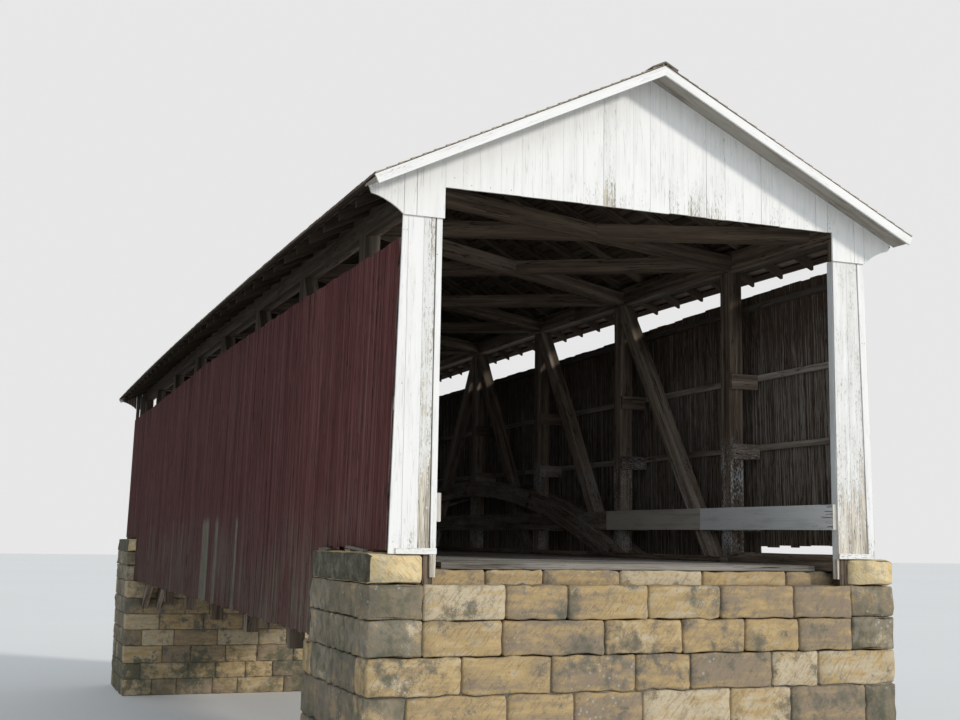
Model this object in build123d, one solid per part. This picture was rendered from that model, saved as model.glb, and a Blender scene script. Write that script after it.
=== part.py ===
from build123d import *
import math
import os

# A timber covered bridge of one span, in millimetres. X runs across the road, Y along it and
# Z up. The origin is on the ground line, in the middle of the bridge.

# Span and width
PANELS = 6
PANEL = 3140
PORCH = 2390
CLEAR_WIDTH = 4880

# Levels, above the ground line or from the foot of the portal legs
FOOT_Z = 3800
DECK_DROP = 80
CHORD_FOOT_DROP = 1020
POST_TAIL_DROP = 1380
PLATE_RISE = 3730
CAMBER = 110

# Truss timbers
POST_WIDTH = 200
POST_DEPTH = 230
BRACE_DEPTH = 200
BRACE_HOUSING = 25
PLATE_HEIGHT = 270
BRACE_AIM = 70
CHORD_THICK = 100
CHORD_HEIGHT = 300
CHORD_HOUSING = 60
CHORD_START = 1300

# Arches
ARCH_RADIUS = 17500
ARCH_DEPTH = 300
ARCH_THICK = 130
ARCH_CROWN_RISE = 1280
ARCH_SEAT = 260
ARCH_JOINT = 1

# Abutments
ABUTMENT_LENGTH = 2650
ABUTMENT_REAR = 50
BACKWALL_LENGTH = 1000
STEP_LENGTH = 300
STEP_DROP = 300
WING_SET = 5
WING_THICK = 580
WING_LENGTH = 2350
POCKET_GAP = 20

# Floor
PLANK_THICK = 70
STRINGER_HEIGHT = 270
STRINGER_WIDTH = 100
STRINGERS = 7
STRINGER_SETBACK = 350
BEAM_WIDTH = 200
BEAMS_PER_PANEL = 4
BEAM_OFFSET = 560
DECK_GAP = 10
CURB_WIDTH = 120
CURB_HEIGHT = 70
CURB_START = 2130
SILL_WIDTH = 130
SILL_RISE = 45

# Side walls
WALL_THICK = 22
WALL_TOP_RISE = 3360
WALL_FOOT_DROP = 1000
WALL_STANDOFF = 258
WALL_BATTER = 0.0207
NAILER_RISES = (3280, 2350, 1420, 480)
FOOT_NAILER_DROP = 460
NAILER_THICK = 50
NAILER_HEIGHT = 90
BLOCK_THICK = 50
BLOCK_HEIGHT = 200
BLOCK_LIFT = 40
WING_GAP = 80

# Portals
BOARD_THICK = 25
LEG_HEIGHT = 3477
LEG_FLARE = 0.0207
CORNER_WIDTH = 70
CORNER_DROP = 230
SEAM = 2
BASE_HEIGHT = 45
BASE_THICK = 18
JAMB_DEPTH = 90
PORTAL_POST = 110
OPENING_RISE = 3812
GABLE_LAP = 15
EAR_SETBACK = 38
EAR_TIP = 80
EAR_COVE = 28

# Roof, whose surface lies over the outer top edge of the plate
ROOF_SLOPE = 0.492
ROOF_OVER_PLATE = 121.12
EAVE_REACH = 402
ROOF_OVERHANG = 384
SHINGLE_THICK = 25
LATH_THICK = 25
LATH_WIDTH = 100
LATH_SPACING = 210
LATH_SETBACK = 40
RAFTER_DEPTH = 110
RAFTER_WIDTH = 60
RAFTER_PAIRS = 35
RAFTER_SETBACK = 120
RAKE_DEPTH = 100
RAKE_THICK = 25
SOFFIT_THICK = 20
CAP_WIDTH = 160
CAP_THICK = 20

# Overhead bracing
TIE_SIZE = 180
TIE_RISE = 3860
TIE_START = 440

# Guard rails
RAIL_THICK = 50
RAIL_FOOT = 330
RAIL_HEIGHT = 290
RAIL_START = 20
RAIL_SPLICE = 5800
SCRIBE_GAP = 4

# Clearance between pieces that bear on each other in one assembly
FIT = 0.3

# Worked out from the sizes above
HALF_TRUSS = PANELS * PANEL / 2
HALF = HALF_TRUSS + PORCH
INNER_X = CLEAR_WIDTH / 2
OUTER_X = INNER_X + POST_WIDTH
POSTS_Y = [-HALF_TRUSS + PANEL * i for i in range(PANELS + 1)]
SEAT_Z = FOOT_Z - CHORD_FOOT_DROP
CHORD_TOP_Z = SEAT_Z + CHORD_HEIGHT
DECK_Z = FOOT_Z - DECK_DROP
STRINGER_TOP_Z = DECK_Z - PLANK_THICK
BEAM_TOP_Z = STRINGER_TOP_Z - STRINGER_HEIGHT
PLATE_Z = FOOT_Z + PLATE_RISE
RIDGE_Z = PLATE_Z + PLATE_HEIGHT + ROOF_OVER_PLATE + ROOF_SLOPE * OUTER_X
PER_RISE = math.hypot(1, ROOF_SLOPE)
CAMBER_RADIUS = (HALF**2 + CAMBER**2) / (2 * CAMBER)
DECK_WIDTH = CLEAR_WIDTH - 2 * (ARCH_THICK + DECK_GAP)
STRINGER_SPREAD = DECK_WIDTH - 2 * STRINGER_SETBACK
ABUTMENT_FACE = HALF + ABUTMENT_REAR - ABUTMENT_LENGTH
WING_END = HALF + ABUTMENT_REAR - WING_LENGTH
ARCH_CENTRE_Z = FOOT_Z + ARCH_CROWN_RISE - ARCH_RADIUS
RAIL_X = INNER_X - RAIL_THICK
WING_INNER = INNER_X + BOARD_THICK + PORTAL_POST + WING_SET
ABUTMENT_WIDTH = 2 * (WING_INNER + WING_THICK)
WALL_TOP_X = OUTER_X + WALL_STANDOFF
LEG_TOP_X = WALL_TOP_X - WALL_THICK
GABLE_OPENING_X = INNER_X - GABLE_LAP
EAVE_X = WALL_TOP_X + EAVE_REACH
EAR_X = EAVE_X - EAR_SETBACK
RAFTER_TAIL_X = EAVE_X - RAFTER_SETBACK
FOOT_NAILER_TOP = FOOT_Z - FOOT_NAILER_DROP + NAILER_HEIGHT / 2
WALL_AT_NAILER = WALL_TOP_X + WALL_BATTER * (FOOT_Z + WALL_TOP_RISE - FOOT_NAILER_TOP)
BEAM_REACH = WALL_AT_NAILER - WALL_THICK - NAILER_THICK


def block(x0, x1, y0, y1, z0, z1):
    """A squared timber or stone between two corners."""
    size = (abs(x1 - x0), abs(y1 - y0), abs(z1 - z0))
    return Pos((x0 + x1) / 2, (y0 + y1) / 2, (z0 + z1) / 2) * Box(*size)


def across(points, y0, y1):
    """A prism with its outline in the XZ plane, from y0 to y1."""
    face = Plane.XZ * make_face(Polyline(*points, close=True))
    return Pos(0, max(y0, y1), 0) * extrude(face, abs(y1 - y0))


def along(points, x0, x1):
    """A prism with its outline in the YZ plane, from x0 to x1."""
    face = Plane.YZ * make_face(Polyline(*points, close=True))
    return Pos(min(x0, x1), 0, 0) * extrude(face, abs(x1 - x0))


def other_side(parts):
    """The same pieces on the left of the road."""
    return [mirror(part, about=Plane.YZ) for part in parts]


def other_end(parts):
    """The same pieces at the far end."""
    return [mirror(part, about=Plane.XZ) for part in parts]


def save(name, parts):
    """One file for each named piece."""
    solids = [solid for part in parts for solid in part.solids()]
    export_step(Compound(label=name, children=solids), f"parts/{name}.step")


def roof_z(x, below=0):
    """Height of a line that runs below the roof's surface by a given thickness."""
    return RIDGE_Z - ROOF_SLOPE * abs(x) - below * PER_RISE


def camber(y):
    """How far the cambered upper chord and roof rise above their ends, on one wide circle."""
    return math.sqrt(CAMBER_RADIUS**2 - y**2) - (CAMBER_RADIUS - CAMBER)


def cambered_face(x, y0, y1, low, high):
    """An upright face along the road whose upper and lower edges follow the camber."""
    middle = (y0 + y1) / 2

    def edge(z, start, end):
        points = [(x, y, z + camber(y)) for y in (start, middle, end)]
        return ThreePointArc(*points)

    lower, upper = edge(low, y0, y1), edge(high, y1, y0)
    ends = [Line(lower @ 1, upper @ 0), Line(upper @ 1, lower @ 0)]
    return Face(Wire([lower, ends[0], upper, ends[1]]))


def cambered_beam(x0, x1, y0, y1, low, high):
    """A beam along the road that follows the camber."""
    return extrude(cambered_face(x0, y0, y1, low, high), x1 - x0, dir=(1, 0, 0))


def wall_x(z, inside=0):
    """How far out the leaning side wall is at a height."""
    return WALL_TOP_X + WALL_BATTER * (FOOT_Z + WALL_TOP_RISE - z) - inside


def arch_ring(inner, outer, x0, x1):
    """A ring about the arch's centre, standing along the road."""
    ring = Circle(outer) - Circle(inner)
    return Pos(min(x0, x1), 0, ARCH_CENTRE_Z) * extrude(Plane.YZ * ring, abs(x1 - x0))


def chord_sticks():
    """The two sticks of the lower chord, which clasp the posts."""
    end = HALF - CHORD_START
    first = INNER_X + CHORD_HOUSING - CHORD_THICK
    second = OUTER_X - CHORD_HOUSING
    return [block(x, x + CHORD_THICK, -end, end, SEAT_Z, CHORD_TOP_Z) for x in (first, second)]


def plate():
    """The upper chord, which also carries the rafters."""
    end = HALF - BOARD_THICK
    return cambered_beam(INNER_X, OUTER_X, -end, end, PLATE_Z, PLATE_Z + PLATE_HEIGHT)


def room_under_plate():
    """What lies between the lower chord's seat and the upper chord."""
    return cambered_beam(INNER_X, OUTER_X, -HALF, HALF, 0, PLATE_Z)


def posts():
    """King posts, notched for the lower chord and housed for the braces."""
    cuts = chord_sticks() + braces()
    room = room_under_plate()
    half = POST_DEPTH / 2
    made = []
    for y in POSTS_Y:
        foot = FOOT_Z - POST_TAIL_DROP if abs(y) < HALF_TRUSS else SEAT_Z
        post = room & block(INNER_X, OUTER_X, y - half, y + half, foot, PLATE_Z + CAMBER)
        for cut in cuts:
            post = post - cut
        made.append(post)
    return made


def braces():
    """Compression braces, from the foot of each post to the head of the next one inward."""
    made = []
    foot_z = CHORD_TOP_Z
    head_z = PLATE_Z + BRACE_AIM + CAMBER
    run = math.hypot(PANEL, head_z - foot_z)
    half = BRACE_DEPTH / 2 * run / (head_z - foot_z)
    reach = POST_DEPTH / 2 - BRACE_HOUSING
    under_plate = room_under_plate()
    for low, high in zip(POSTS_Y, POSTS_Y[1 : PANELS // 2 + 1]):
        outline = [
            (low - half, foot_z),
            (low + half, foot_z),
            (high + half, head_z),
            (high - half, head_z),
        ]
        bay = block(INNER_X, OUTER_X, low + reach, high - reach, foot_z, head_z)
        made.append(along(outline, INNER_X, OUTER_X) & bay & under_plate)
    return made + other_end(made)


def arch_angle(y, radius):
    """Angle from the crown to a place along the road."""
    return math.asin(y / radius)


def arch_leaf(x0, x1):
    """One leaf of an arch, in lengths that meet at the posts and end in the abutments."""
    ring = arch_ring(ARCH_RADIUS - ARCH_DEPTH, ARCH_RADIUS, x0, x1)
    low = ARCH_CENTRE_Z
    end = ABUTMENT_FACE / (ARCH_RADIUS - ARCH_DEPTH)
    seat = math.asin(end) + ARCH_SEAT / ARCH_RADIUS
    marks = [0] + [arch_angle(y, ARCH_RADIUS) for y in POSTS_Y if 0 < y < POSTS_Y[-1]] + [seat]
    past_ring = ARCH_RADIUS * 2
    joint = ARCH_JOINT / 2 / ARCH_RADIUS
    made = []
    for start, stop in zip(marks, marks[1:]):
        sides = [start + joint, stop - joint]
        wedge = [(past_ring * math.sin(a), low + past_ring * math.cos(a)) for a in sides]
        made.append(ring & along([(0, low)] + wedge, x0, x1))
    return made + other_end(made)


def arches():
    """The inner and outer leaves, housed over the lower chord where they cross it."""
    sticks = chord_sticks()
    made = []
    for x0, stick in ((INNER_X - ARCH_THICK, sticks[0]), (OUTER_X, sticks[1])):
        made += [length - stick for length in arch_leaf(x0, x0 + ARCH_THICK)]
    return made


def abutment():
    """The near abutment's body, with a pocket for the foot of each arch leaf."""
    wide = ABUTMENT_WIDTH / 2
    body = block(-wide, wide, -HALF - ABUTMENT_REAR, -ABUTMENT_FACE, 0, SEAT_Z)
    for x0 in (INNER_X - ARCH_THICK, OUTER_X):
        feet = arch_leaf(x0, x0 + ARCH_THICK)
        for foot in feet + other_side(feet):
            body = body - foot
    return body


def backwall():
    """The near wall behind the floor, with a step where the road comes in."""
    rear = -HALF - ABUTMENT_REAR
    wall = block(-WING_INNER, WING_INNER, rear, rear + BACKWALL_LENGTH, SEAT_Z, STRINGER_TOP_Z)
    step = block(-WING_INNER, WING_INNER, rear, rear + STEP_LENGTH, FOOT_Z - STEP_DROP, DECK_Z)
    return wall - step


def wing_wall():
    """The right wing wall at the near end, which carries the portal leg."""
    rear = -HALF - ABUTMENT_REAR
    wide = ABUTMENT_WIDTH / 2
    wall = block(WING_INNER, wide, rear, rear + WING_LENGTH, SEAT_Z, FOOT_Z)
    chord_face = OUTER_X - CHORD_HOUSING + CHORD_THICK + POCKET_GAP
    start = -HALF + CHORD_START - POCKET_GAP
    beam_end = BEAM_REACH + POCKET_GAP
    chord = block(WING_INNER, chord_face, start, -WING_END, SEAT_Z, FOOT_Z)
    beams = block(WING_INNER, beam_end, start, -WING_END, CHORD_TOP_Z, FOOT_Z)
    return wall - chord - beams


def arch_reach(z, radius):
    """How far from mid-span a circle about the arch's centre is at a height."""
    return math.sqrt(radius**2 - (z - ARCH_CENTRE_Z) ** 2)


def floor_beam_places():
    """Where the floor beams lie, clear of posts and brace feet, and beside the arches."""
    step = PANEL / BEAMS_PER_PANEL
    count = PANELS // 2 * BEAMS_PER_PANEL + 1
    room = BEAM_WIDTH / 2 + POCKET_GAP
    inner = arch_reach(BEAM_TOP_Z, ARCH_RADIUS - ARCH_DEPTH) - room
    outer = arch_reach(CHORD_TOP_Z, ARCH_RADIUS) + room
    places = []
    for i in range(count):
        y = HALF_TRUSS + step - BEAM_OFFSET - step * i
        if inner < y < outer:
            y = outer if y > (inner + outer) / 2 else inner
        if not places or places[-1] - y > BEAM_WIDTH * 2:
            places.append(y)
    return [-y for y in places] + places


def floor_beams():
    """Cross beams on the lower chords, which reach out to the foot nailers."""
    half = BEAM_WIDTH / 2
    return [
        block(-BEAM_REACH, BEAM_REACH, y - half, y + half, CHORD_TOP_Z, BEAM_TOP_Z)
        for y in floor_beam_places()
    ]


def stringers():
    """Joists under the planks, between the backwalls."""
    end = HALF + ABUTMENT_REAR - BACKWALL_LENGTH
    step = STRINGER_SPREAD / (STRINGERS - 1)
    half = STRINGER_WIDTH / 2
    places = [-STRINGER_SPREAD / 2 + step * i for i in range(STRINGERS)]
    return [block(x - half, x + half, -end, end, BEAM_TOP_Z, STRINGER_TOP_Z) for x in places]


def deck():
    """The plank floor."""
    end = HALF + ABUTMENT_REAR - STEP_LENGTH
    wide = DECK_WIDTH / 2
    return block(-wide, wide, -end, end, STRINGER_TOP_Z, DECK_Z)


def curb():
    """The right wheel guard, between the end posts."""
    end = HALF - CURB_START
    edge = DECK_WIDTH / 2
    return block(edge - CURB_WIDTH, edge, -end, end, DECK_Z, DECK_Z + CURB_HEIGHT)


def sill():
    """The near right sill on the backwall, between the portal post and the end post."""
    x1 = INNER_X + SILL_WIDTH
    start = -HALF + BOARD_THICK + PORTAL_POST + FIT
    end = -HALF_TRUSS - POST_DEPTH / 2 - FIT
    return block(INNER_X, x1, start, end, STRINGER_TOP_Z, FOOT_Z + SILL_RISE)


def wall_outline(top, foot, thick, inside=0):
    """Cross-section of a board that lies along the leaning wall."""
    return [
        (wall_x(foot, inside), foot),
        (wall_x(top, inside), top),
        (wall_x(top, inside + thick), top),
        (wall_x(foot, inside + thick), foot),
    ]


def siding():
    """The right side wall, cut up over the wing walls."""
    top = FOOT_Z + WALL_TOP_RISE
    foot = FOOT_Z - WALL_FOOT_DROP
    end = HALF - BOARD_THICK
    wall = across(wall_outline(top, foot, WALL_THICK), -end, end)
    far_out = wall_x(foot) + WALL_THICK
    near_in = wall_x(top, WALL_THICK * 2)
    notch = block(near_in, far_out, WING_END - POCKET_GAP, HALF, foot, FOOT_Z + WING_GAP)
    return wall - notch - mirror(notch, about=Plane.XZ)


def nailers():
    """Rows of nailers inside the wall."""
    end = HALF - BOARD_THICK - PORTAL_POST
    made = []
    half = NAILER_HEIGHT / 2
    for rise in NAILER_RISES + (-FOOT_NAILER_DROP,):
        z = FOOT_Z + rise
        reach = end if rise > 0 else WING_END - POCKET_GAP
        outline = wall_outline(z + half, z - half, NAILER_THICK, WALL_THICK)
        made.append(across(outline, -reach, reach))
    return made


def outrigger_blocks():
    """Blocks on the posts that hold the nailers off them, scribed over the arch's crown."""
    made = []
    ring = arch_ring(
        ARCH_RADIUS - ARCH_DEPTH - SCRIBE_GAP, ARCH_RADIUS + SCRIBE_GAP, OUTER_X, OUTER_X + ARCH_THICK
    )
    for y in POSTS_Y:
        outward = -1 if y < PANEL / 2 else 1
        face = y + outward * POST_DEPTH / 2
        back = face + outward * BLOCK_THICK
        for rise in NAILER_RISES[1:]:
            top = FOOT_Z + rise + BLOCK_LIFT
            low = top - BLOCK_HEIGHT
            nailer_in = wall_x(top, WALL_THICK + NAILER_THICK)
            made.append(block(INNER_X, nailer_in, face, back, low, top) - ring)
    return made


def portal_posts():
    """Light posts behind the corners of the near portal."""
    front = -HALF + BOARD_THICK
    x0 = INNER_X + BOARD_THICK
    return [block(x0, x0 + PORTAL_POST, front, front + PORTAL_POST, FOOT_Z - STEP_DROP, PLATE_Z)]


def leg():
    """The near right portal leg: face boards, corner board, jamb and base board."""
    front = -HALF
    top = FOOT_Z + OPENING_RISE
    corner = INNER_X + CORNER_WIDTH
    flare_top = LEG_TOP_X + LEG_FLARE * (LEG_HEIGHT - OPENING_RISE)
    flare_foot = LEG_TOP_X + LEG_FLARE * LEG_HEIGHT
    face = [
        (corner + SEAM, FOOT_Z),
        (flare_foot, FOOT_Z),
        (flare_top, top),
        (corner + SEAM, top),
    ]
    boards = across(face, front, front + BOARD_THICK)
    corner_foot = FOOT_Z - CORNER_DROP
    corner_board = block(INNER_X, corner, front, front + BOARD_THICK, corner_foot, top)
    jamb_front = front + BOARD_THICK + FIT
    jamb_top = FOOT_Z + LEG_HEIGHT
    jamb = block(
        INNER_X, INNER_X + BOARD_THICK, jamb_front, jamb_front + JAMB_DEPTH, corner_foot, jamb_top
    )
    base_back = front - FIT
    base_front = base_back - BASE_THICK
    base = block(INNER_X, flare_foot, base_front, base_back, FOOT_Z, FOOT_Z + BASE_HEIGHT)
    return [boards, corner_board, jamb, base]


def gable():
    """The near gable of upright boards that lap the legs, with its coved ears over them."""
    soffit = SHINGLE_THICK + LATH_THICK + SOFFIT_THICK
    fall = Vector(0, camber(HALF + BOARD_THICK))
    low = FOOT_Z + LEG_HEIGHT
    lintel = FOOT_Z + OPENING_RISE
    tip = Vector(EAR_X, roof_z(EAR_X, soffit)) + fall
    apex = Vector(0, roof_z(0, soffit)) + fall
    ear_foot = tip - Vector(ROOF_SLOPE, 1) * (EAR_TIP / PER_RISE)
    leg_corner = Vector(LEG_TOP_X, low)
    chord = ear_foot - leg_corner
    middle = (leg_corner + ear_foot) / 2 + Vector(-chord.Y, chord.X).normalized() * EAR_COVE
    edges = Polyline((GABLE_OPENING_X, lintel), (GABLE_OPENING_X, low), leg_corner)
    edges += ThreePointArc(leg_corner, middle, ear_foot)
    edges += Polyline(ear_foot, tip, apex, (0, lintel), (GABLE_OPENING_X, lintel))
    half = extrude(Plane.XZ * make_face(edges), BOARD_THICK)
    half = Pos(0, -HALF, 0) * half
    return half + mirror(half, about=Plane.YZ)


def slope_board(x0, x1, y0, y1, below, thick):
    """A board or skin on the right roof slope: its cambered end, carried down the slope."""
    end = cambered_face(x0, y0, y1, roof_z(x0, below + thick), roof_z(x0, below))
    return extrude(end, (x1 - x0) * PER_RISE, dir=(1, 0, -ROOF_SLOPE))


def square_foot(y, below, depth):
    """What a square cut takes off the foot of a board on the right slope, from its top corner."""
    corner = Vector(EAVE_X, roof_z(EAVE_X, below) + camber(y))
    down = Vector(-ROOF_SLOPE, -1) * depth
    out = Vector(depth, 0)
    outline = [corner - down, corner + down * 2, corner + down * 2 + out * 2, corner - down + out]
    return across([(point.X, point.Y) for point in outline], y, -HALF)


def rake():
    """The near right rake board, cut square at its foot, and the soffit behind it."""
    end = HALF + ROOF_OVERHANG
    back = -end + RAKE_THICK
    board = slope_board(0, EAVE_X, -end, back, SHINGLE_THICK, RAKE_DEPTH)
    board = board - square_foot(-end, SHINGLE_THICK, RAKE_DEPTH)
    under = SHINGLE_THICK + LATH_THICK
    soffit = slope_board(0, EAVE_X, back + FIT, -HALF, under, SOFFIT_THICK)
    return [board, soffit]


def rafters():
    """The right-hand rafters, seated on the plate."""
    made = []
    end = HALF - BOARD_THICK - RAFTER_WIDTH / 2
    step = 2 * end / (RAFTER_PAIRS - 1)
    under = SHINGLE_THICK + LATH_THICK
    seat = plate()
    for i in range(RAFTER_PAIRS):
        y = -end + step * i
        half = RAFTER_WIDTH / 2
        rafter = slope_board(0, RAFTER_TAIL_X, y - half, y + half, under, RAFTER_DEPTH)
        made.append(rafter - seat)
    return made


def laths():
    """The open laths of the right slope, from the eave up to the ridge."""
    end = HALF + ROOF_OVERHANG - RAKE_THICK
    lowest = EAVE_X - LATH_SETBACK - LATH_WIDTH / PER_RISE
    step = LATH_SPACING / PER_RISE
    places = [lowest - step * i for i in range(int(lowest / step) + 1)]
    return [
        slope_board(x, x + LATH_WIDTH / PER_RISE, -end, end, SHINGLE_THICK, LATH_THICK)
        for x in places
    ]


def shingles():
    """The shingle skin of the right slope."""
    end = HALF + ROOF_OVERHANG
    return slope_board(0, EAVE_X, -end, end, 0, SHINGLE_THICK)


def ridge_cap():
    """Two boards that lap at the ridge."""
    end = HALF + ROOF_OVERHANG
    right = slope_board(0, CAP_WIDTH, -end, end, -CAP_THICK, CAP_THICK)
    left = slope_board(FIT, CAP_WIDTH, -end, end, -CAP_THICK, CAP_THICK)
    return [right] + other_side([left])


def top_braces():
    """Crossed braces between the plates: one runs through, the other butts against it."""
    marks = [-HALF + TIE_START] + POSTS_Y + [HALF - TIE_START]
    made = []
    for low, high in zip(marks, marks[1:]):
        middle = (low + high) / 2
        half = (high - low) / 2
        half -= TIE_SIZE / 2 * math.hypot(INNER_X, half) / INNER_X
        run = 2 * math.hypot(INNER_X, half) + TIE_SIZE
        turn = math.degrees(math.atan2(half, INNER_X))
        stick = Box(run, TIE_SIZE, TIE_SIZE)
        room = Box(run, TIE_SIZE + 2 * FIT, TIE_SIZE)
        bay = block(-INNER_X, INNER_X, low, high, PLATE_Z - TIE_SIZE, PLATE_Z + PLATE_HEIGHT + CAMBER)
        place = Pos(0, middle, FOOT_Z + TIE_RISE + camber(middle))
        rise = place * Rot(0, 0, turn)
        fall = place * Rot(0, 0, -turn)
        made.append((rise * stick) & bay)
        made.append((fall * stick) & bay - rise * room)
    return made


def guard_rail(y0, y1):
    """A rail board on the road face of the right truss, scribed to the arch."""
    rail = block(RAIL_X, INNER_X, y0, y1, FOOT_Z + RAIL_FOOT, FOOT_Z + RAIL_FOOT + RAIL_HEIGHT)
    ring = arch_ring(
        ARCH_RADIUS - ARCH_DEPTH - SCRIBE_GAP, ARCH_RADIUS + SCRIBE_GAP, INNER_X - ARCH_THICK, INNER_X
    )
    return rail - ring


def painted_rail():
    """The near right painted rail, from over the jamb to the splice."""
    return guard_rail(-HALF + RAIL_START, -HALF + RAIL_SPLICE)


def bare_rails():
    """The old rails that run on from the painted ones."""
    return guard_rail(-HALF + RAIL_SPLICE, HALF - RAIL_SPLICE)


def build():
    """Writes every piece."""
    os.makedirs("parts", exist_ok=True)
    save("near_abutment", [abutment()])
    save("far_abutment", other_end([abutment()]))
    save("near_backwall", [backwall()])
    save("far_backwall", other_end([backwall()]))
    wings = [wing_wall()]
    wings += other_side(wings)
    save("near_wing_walls", wings)
    save("far_wing_walls", other_end(wings))
    pairs = {
        "lower_chord": chord_sticks(),
        "upper_chord": [plate()],
        "posts": posts(),
        "braces": braces(),
        "arch": arches(),
        "siding": [siding()],
        "nailers": nailers(),
        "rafters": rafters(),
        "laths": laths(),
        "shingles": [shingles()],
    }
    for name, parts in pairs.items():
        save(f"right_{name}", parts)
        save(f"left_{name}", other_side(parts))
    both = {
        "outrigger_blocks": outrigger_blocks(),
        "curbs": [curb()],
        "bare_rails": [bare_rails()],
    }
    for name, parts in both.items():
        save(name, parts + other_side(parts))
    sills = [sill()]
    sills += other_side(sills)
    save("sills", sills + other_end(sills))
    corners = {
        "portal_posts": portal_posts(),
        "legs": leg(),
        "rake": rake(),
        "painted_rails": [painted_rail()],
    }
    for name, parts in corners.items():
        sides = parts + other_side(parts)
        save(f"near_{name}", sides)
        save(f"far_{name}", other_end(sides))
    save("near_gable", [gable()])
    save("far_gable", other_end([gable()]))
    save("floor_beams", floor_beams())
    save("stringers", stringers())
    save("deck", [deck()])
    save("ridge_cap", ridge_cap())
    save("top_braces", top_braces())


build()
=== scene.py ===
"""Dresses the covered bridge: boards, shingles, stones, fixings and finishes around its construction."""

import logging
import math
from collections.abc import Callable
from dataclasses import dataclass
from enum import Enum
from functools import cached_property
from typing import Any

import bpy
import numpy as np
from mathutils import Matrix, Vector


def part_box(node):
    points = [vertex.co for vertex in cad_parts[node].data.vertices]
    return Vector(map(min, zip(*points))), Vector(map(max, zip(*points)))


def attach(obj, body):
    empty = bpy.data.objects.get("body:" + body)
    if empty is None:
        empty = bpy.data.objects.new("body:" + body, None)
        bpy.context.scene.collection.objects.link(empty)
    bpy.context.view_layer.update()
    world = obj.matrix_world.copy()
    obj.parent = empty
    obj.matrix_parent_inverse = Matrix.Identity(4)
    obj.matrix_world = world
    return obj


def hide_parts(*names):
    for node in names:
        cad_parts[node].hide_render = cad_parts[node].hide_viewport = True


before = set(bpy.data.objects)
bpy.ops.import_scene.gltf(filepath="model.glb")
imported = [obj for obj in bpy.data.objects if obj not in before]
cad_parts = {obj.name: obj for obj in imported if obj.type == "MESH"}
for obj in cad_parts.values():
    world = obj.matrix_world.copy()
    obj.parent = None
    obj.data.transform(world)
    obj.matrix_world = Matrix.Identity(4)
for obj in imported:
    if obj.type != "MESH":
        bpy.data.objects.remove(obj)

log = logging.getLogger("covered_bridge")
Colour = tuple[float, float, float]
Size = tuple[float, ...]
Array = np.ndarray
Material = bpy.types.Material
X_AXIS, Y_AXIS, Z_AXIS = np.eye(3)
# Where the two nails across a board sit, as shares of its width from its middle.
NAILED = (-0.3, 0.3)


class Spot(Enum):
    """A place with a sign, whose name stands before the names of its nodes."""

    def node(self, piece: str) -> str:
        """Name of this place's node."""
        return f"{self.name.lower()}_{piece}"


class Side(Spot):
    """The two sides of the road, with the sign of X on each."""

    RIGHT = 1
    LEFT = -1


class End(Spot):
    """The two portals, with the sign of Y at each."""

    NEAR = -1
    FAR = 1


@dataclass(frozen=True)
class BySide:
    """A value for each side of the road."""

    left: Any
    right: Any

    def __getitem__(self, side: Side) -> Any:
        """The side's own value."""
        return self.left if side is Side.LEFT else self.right


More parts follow.
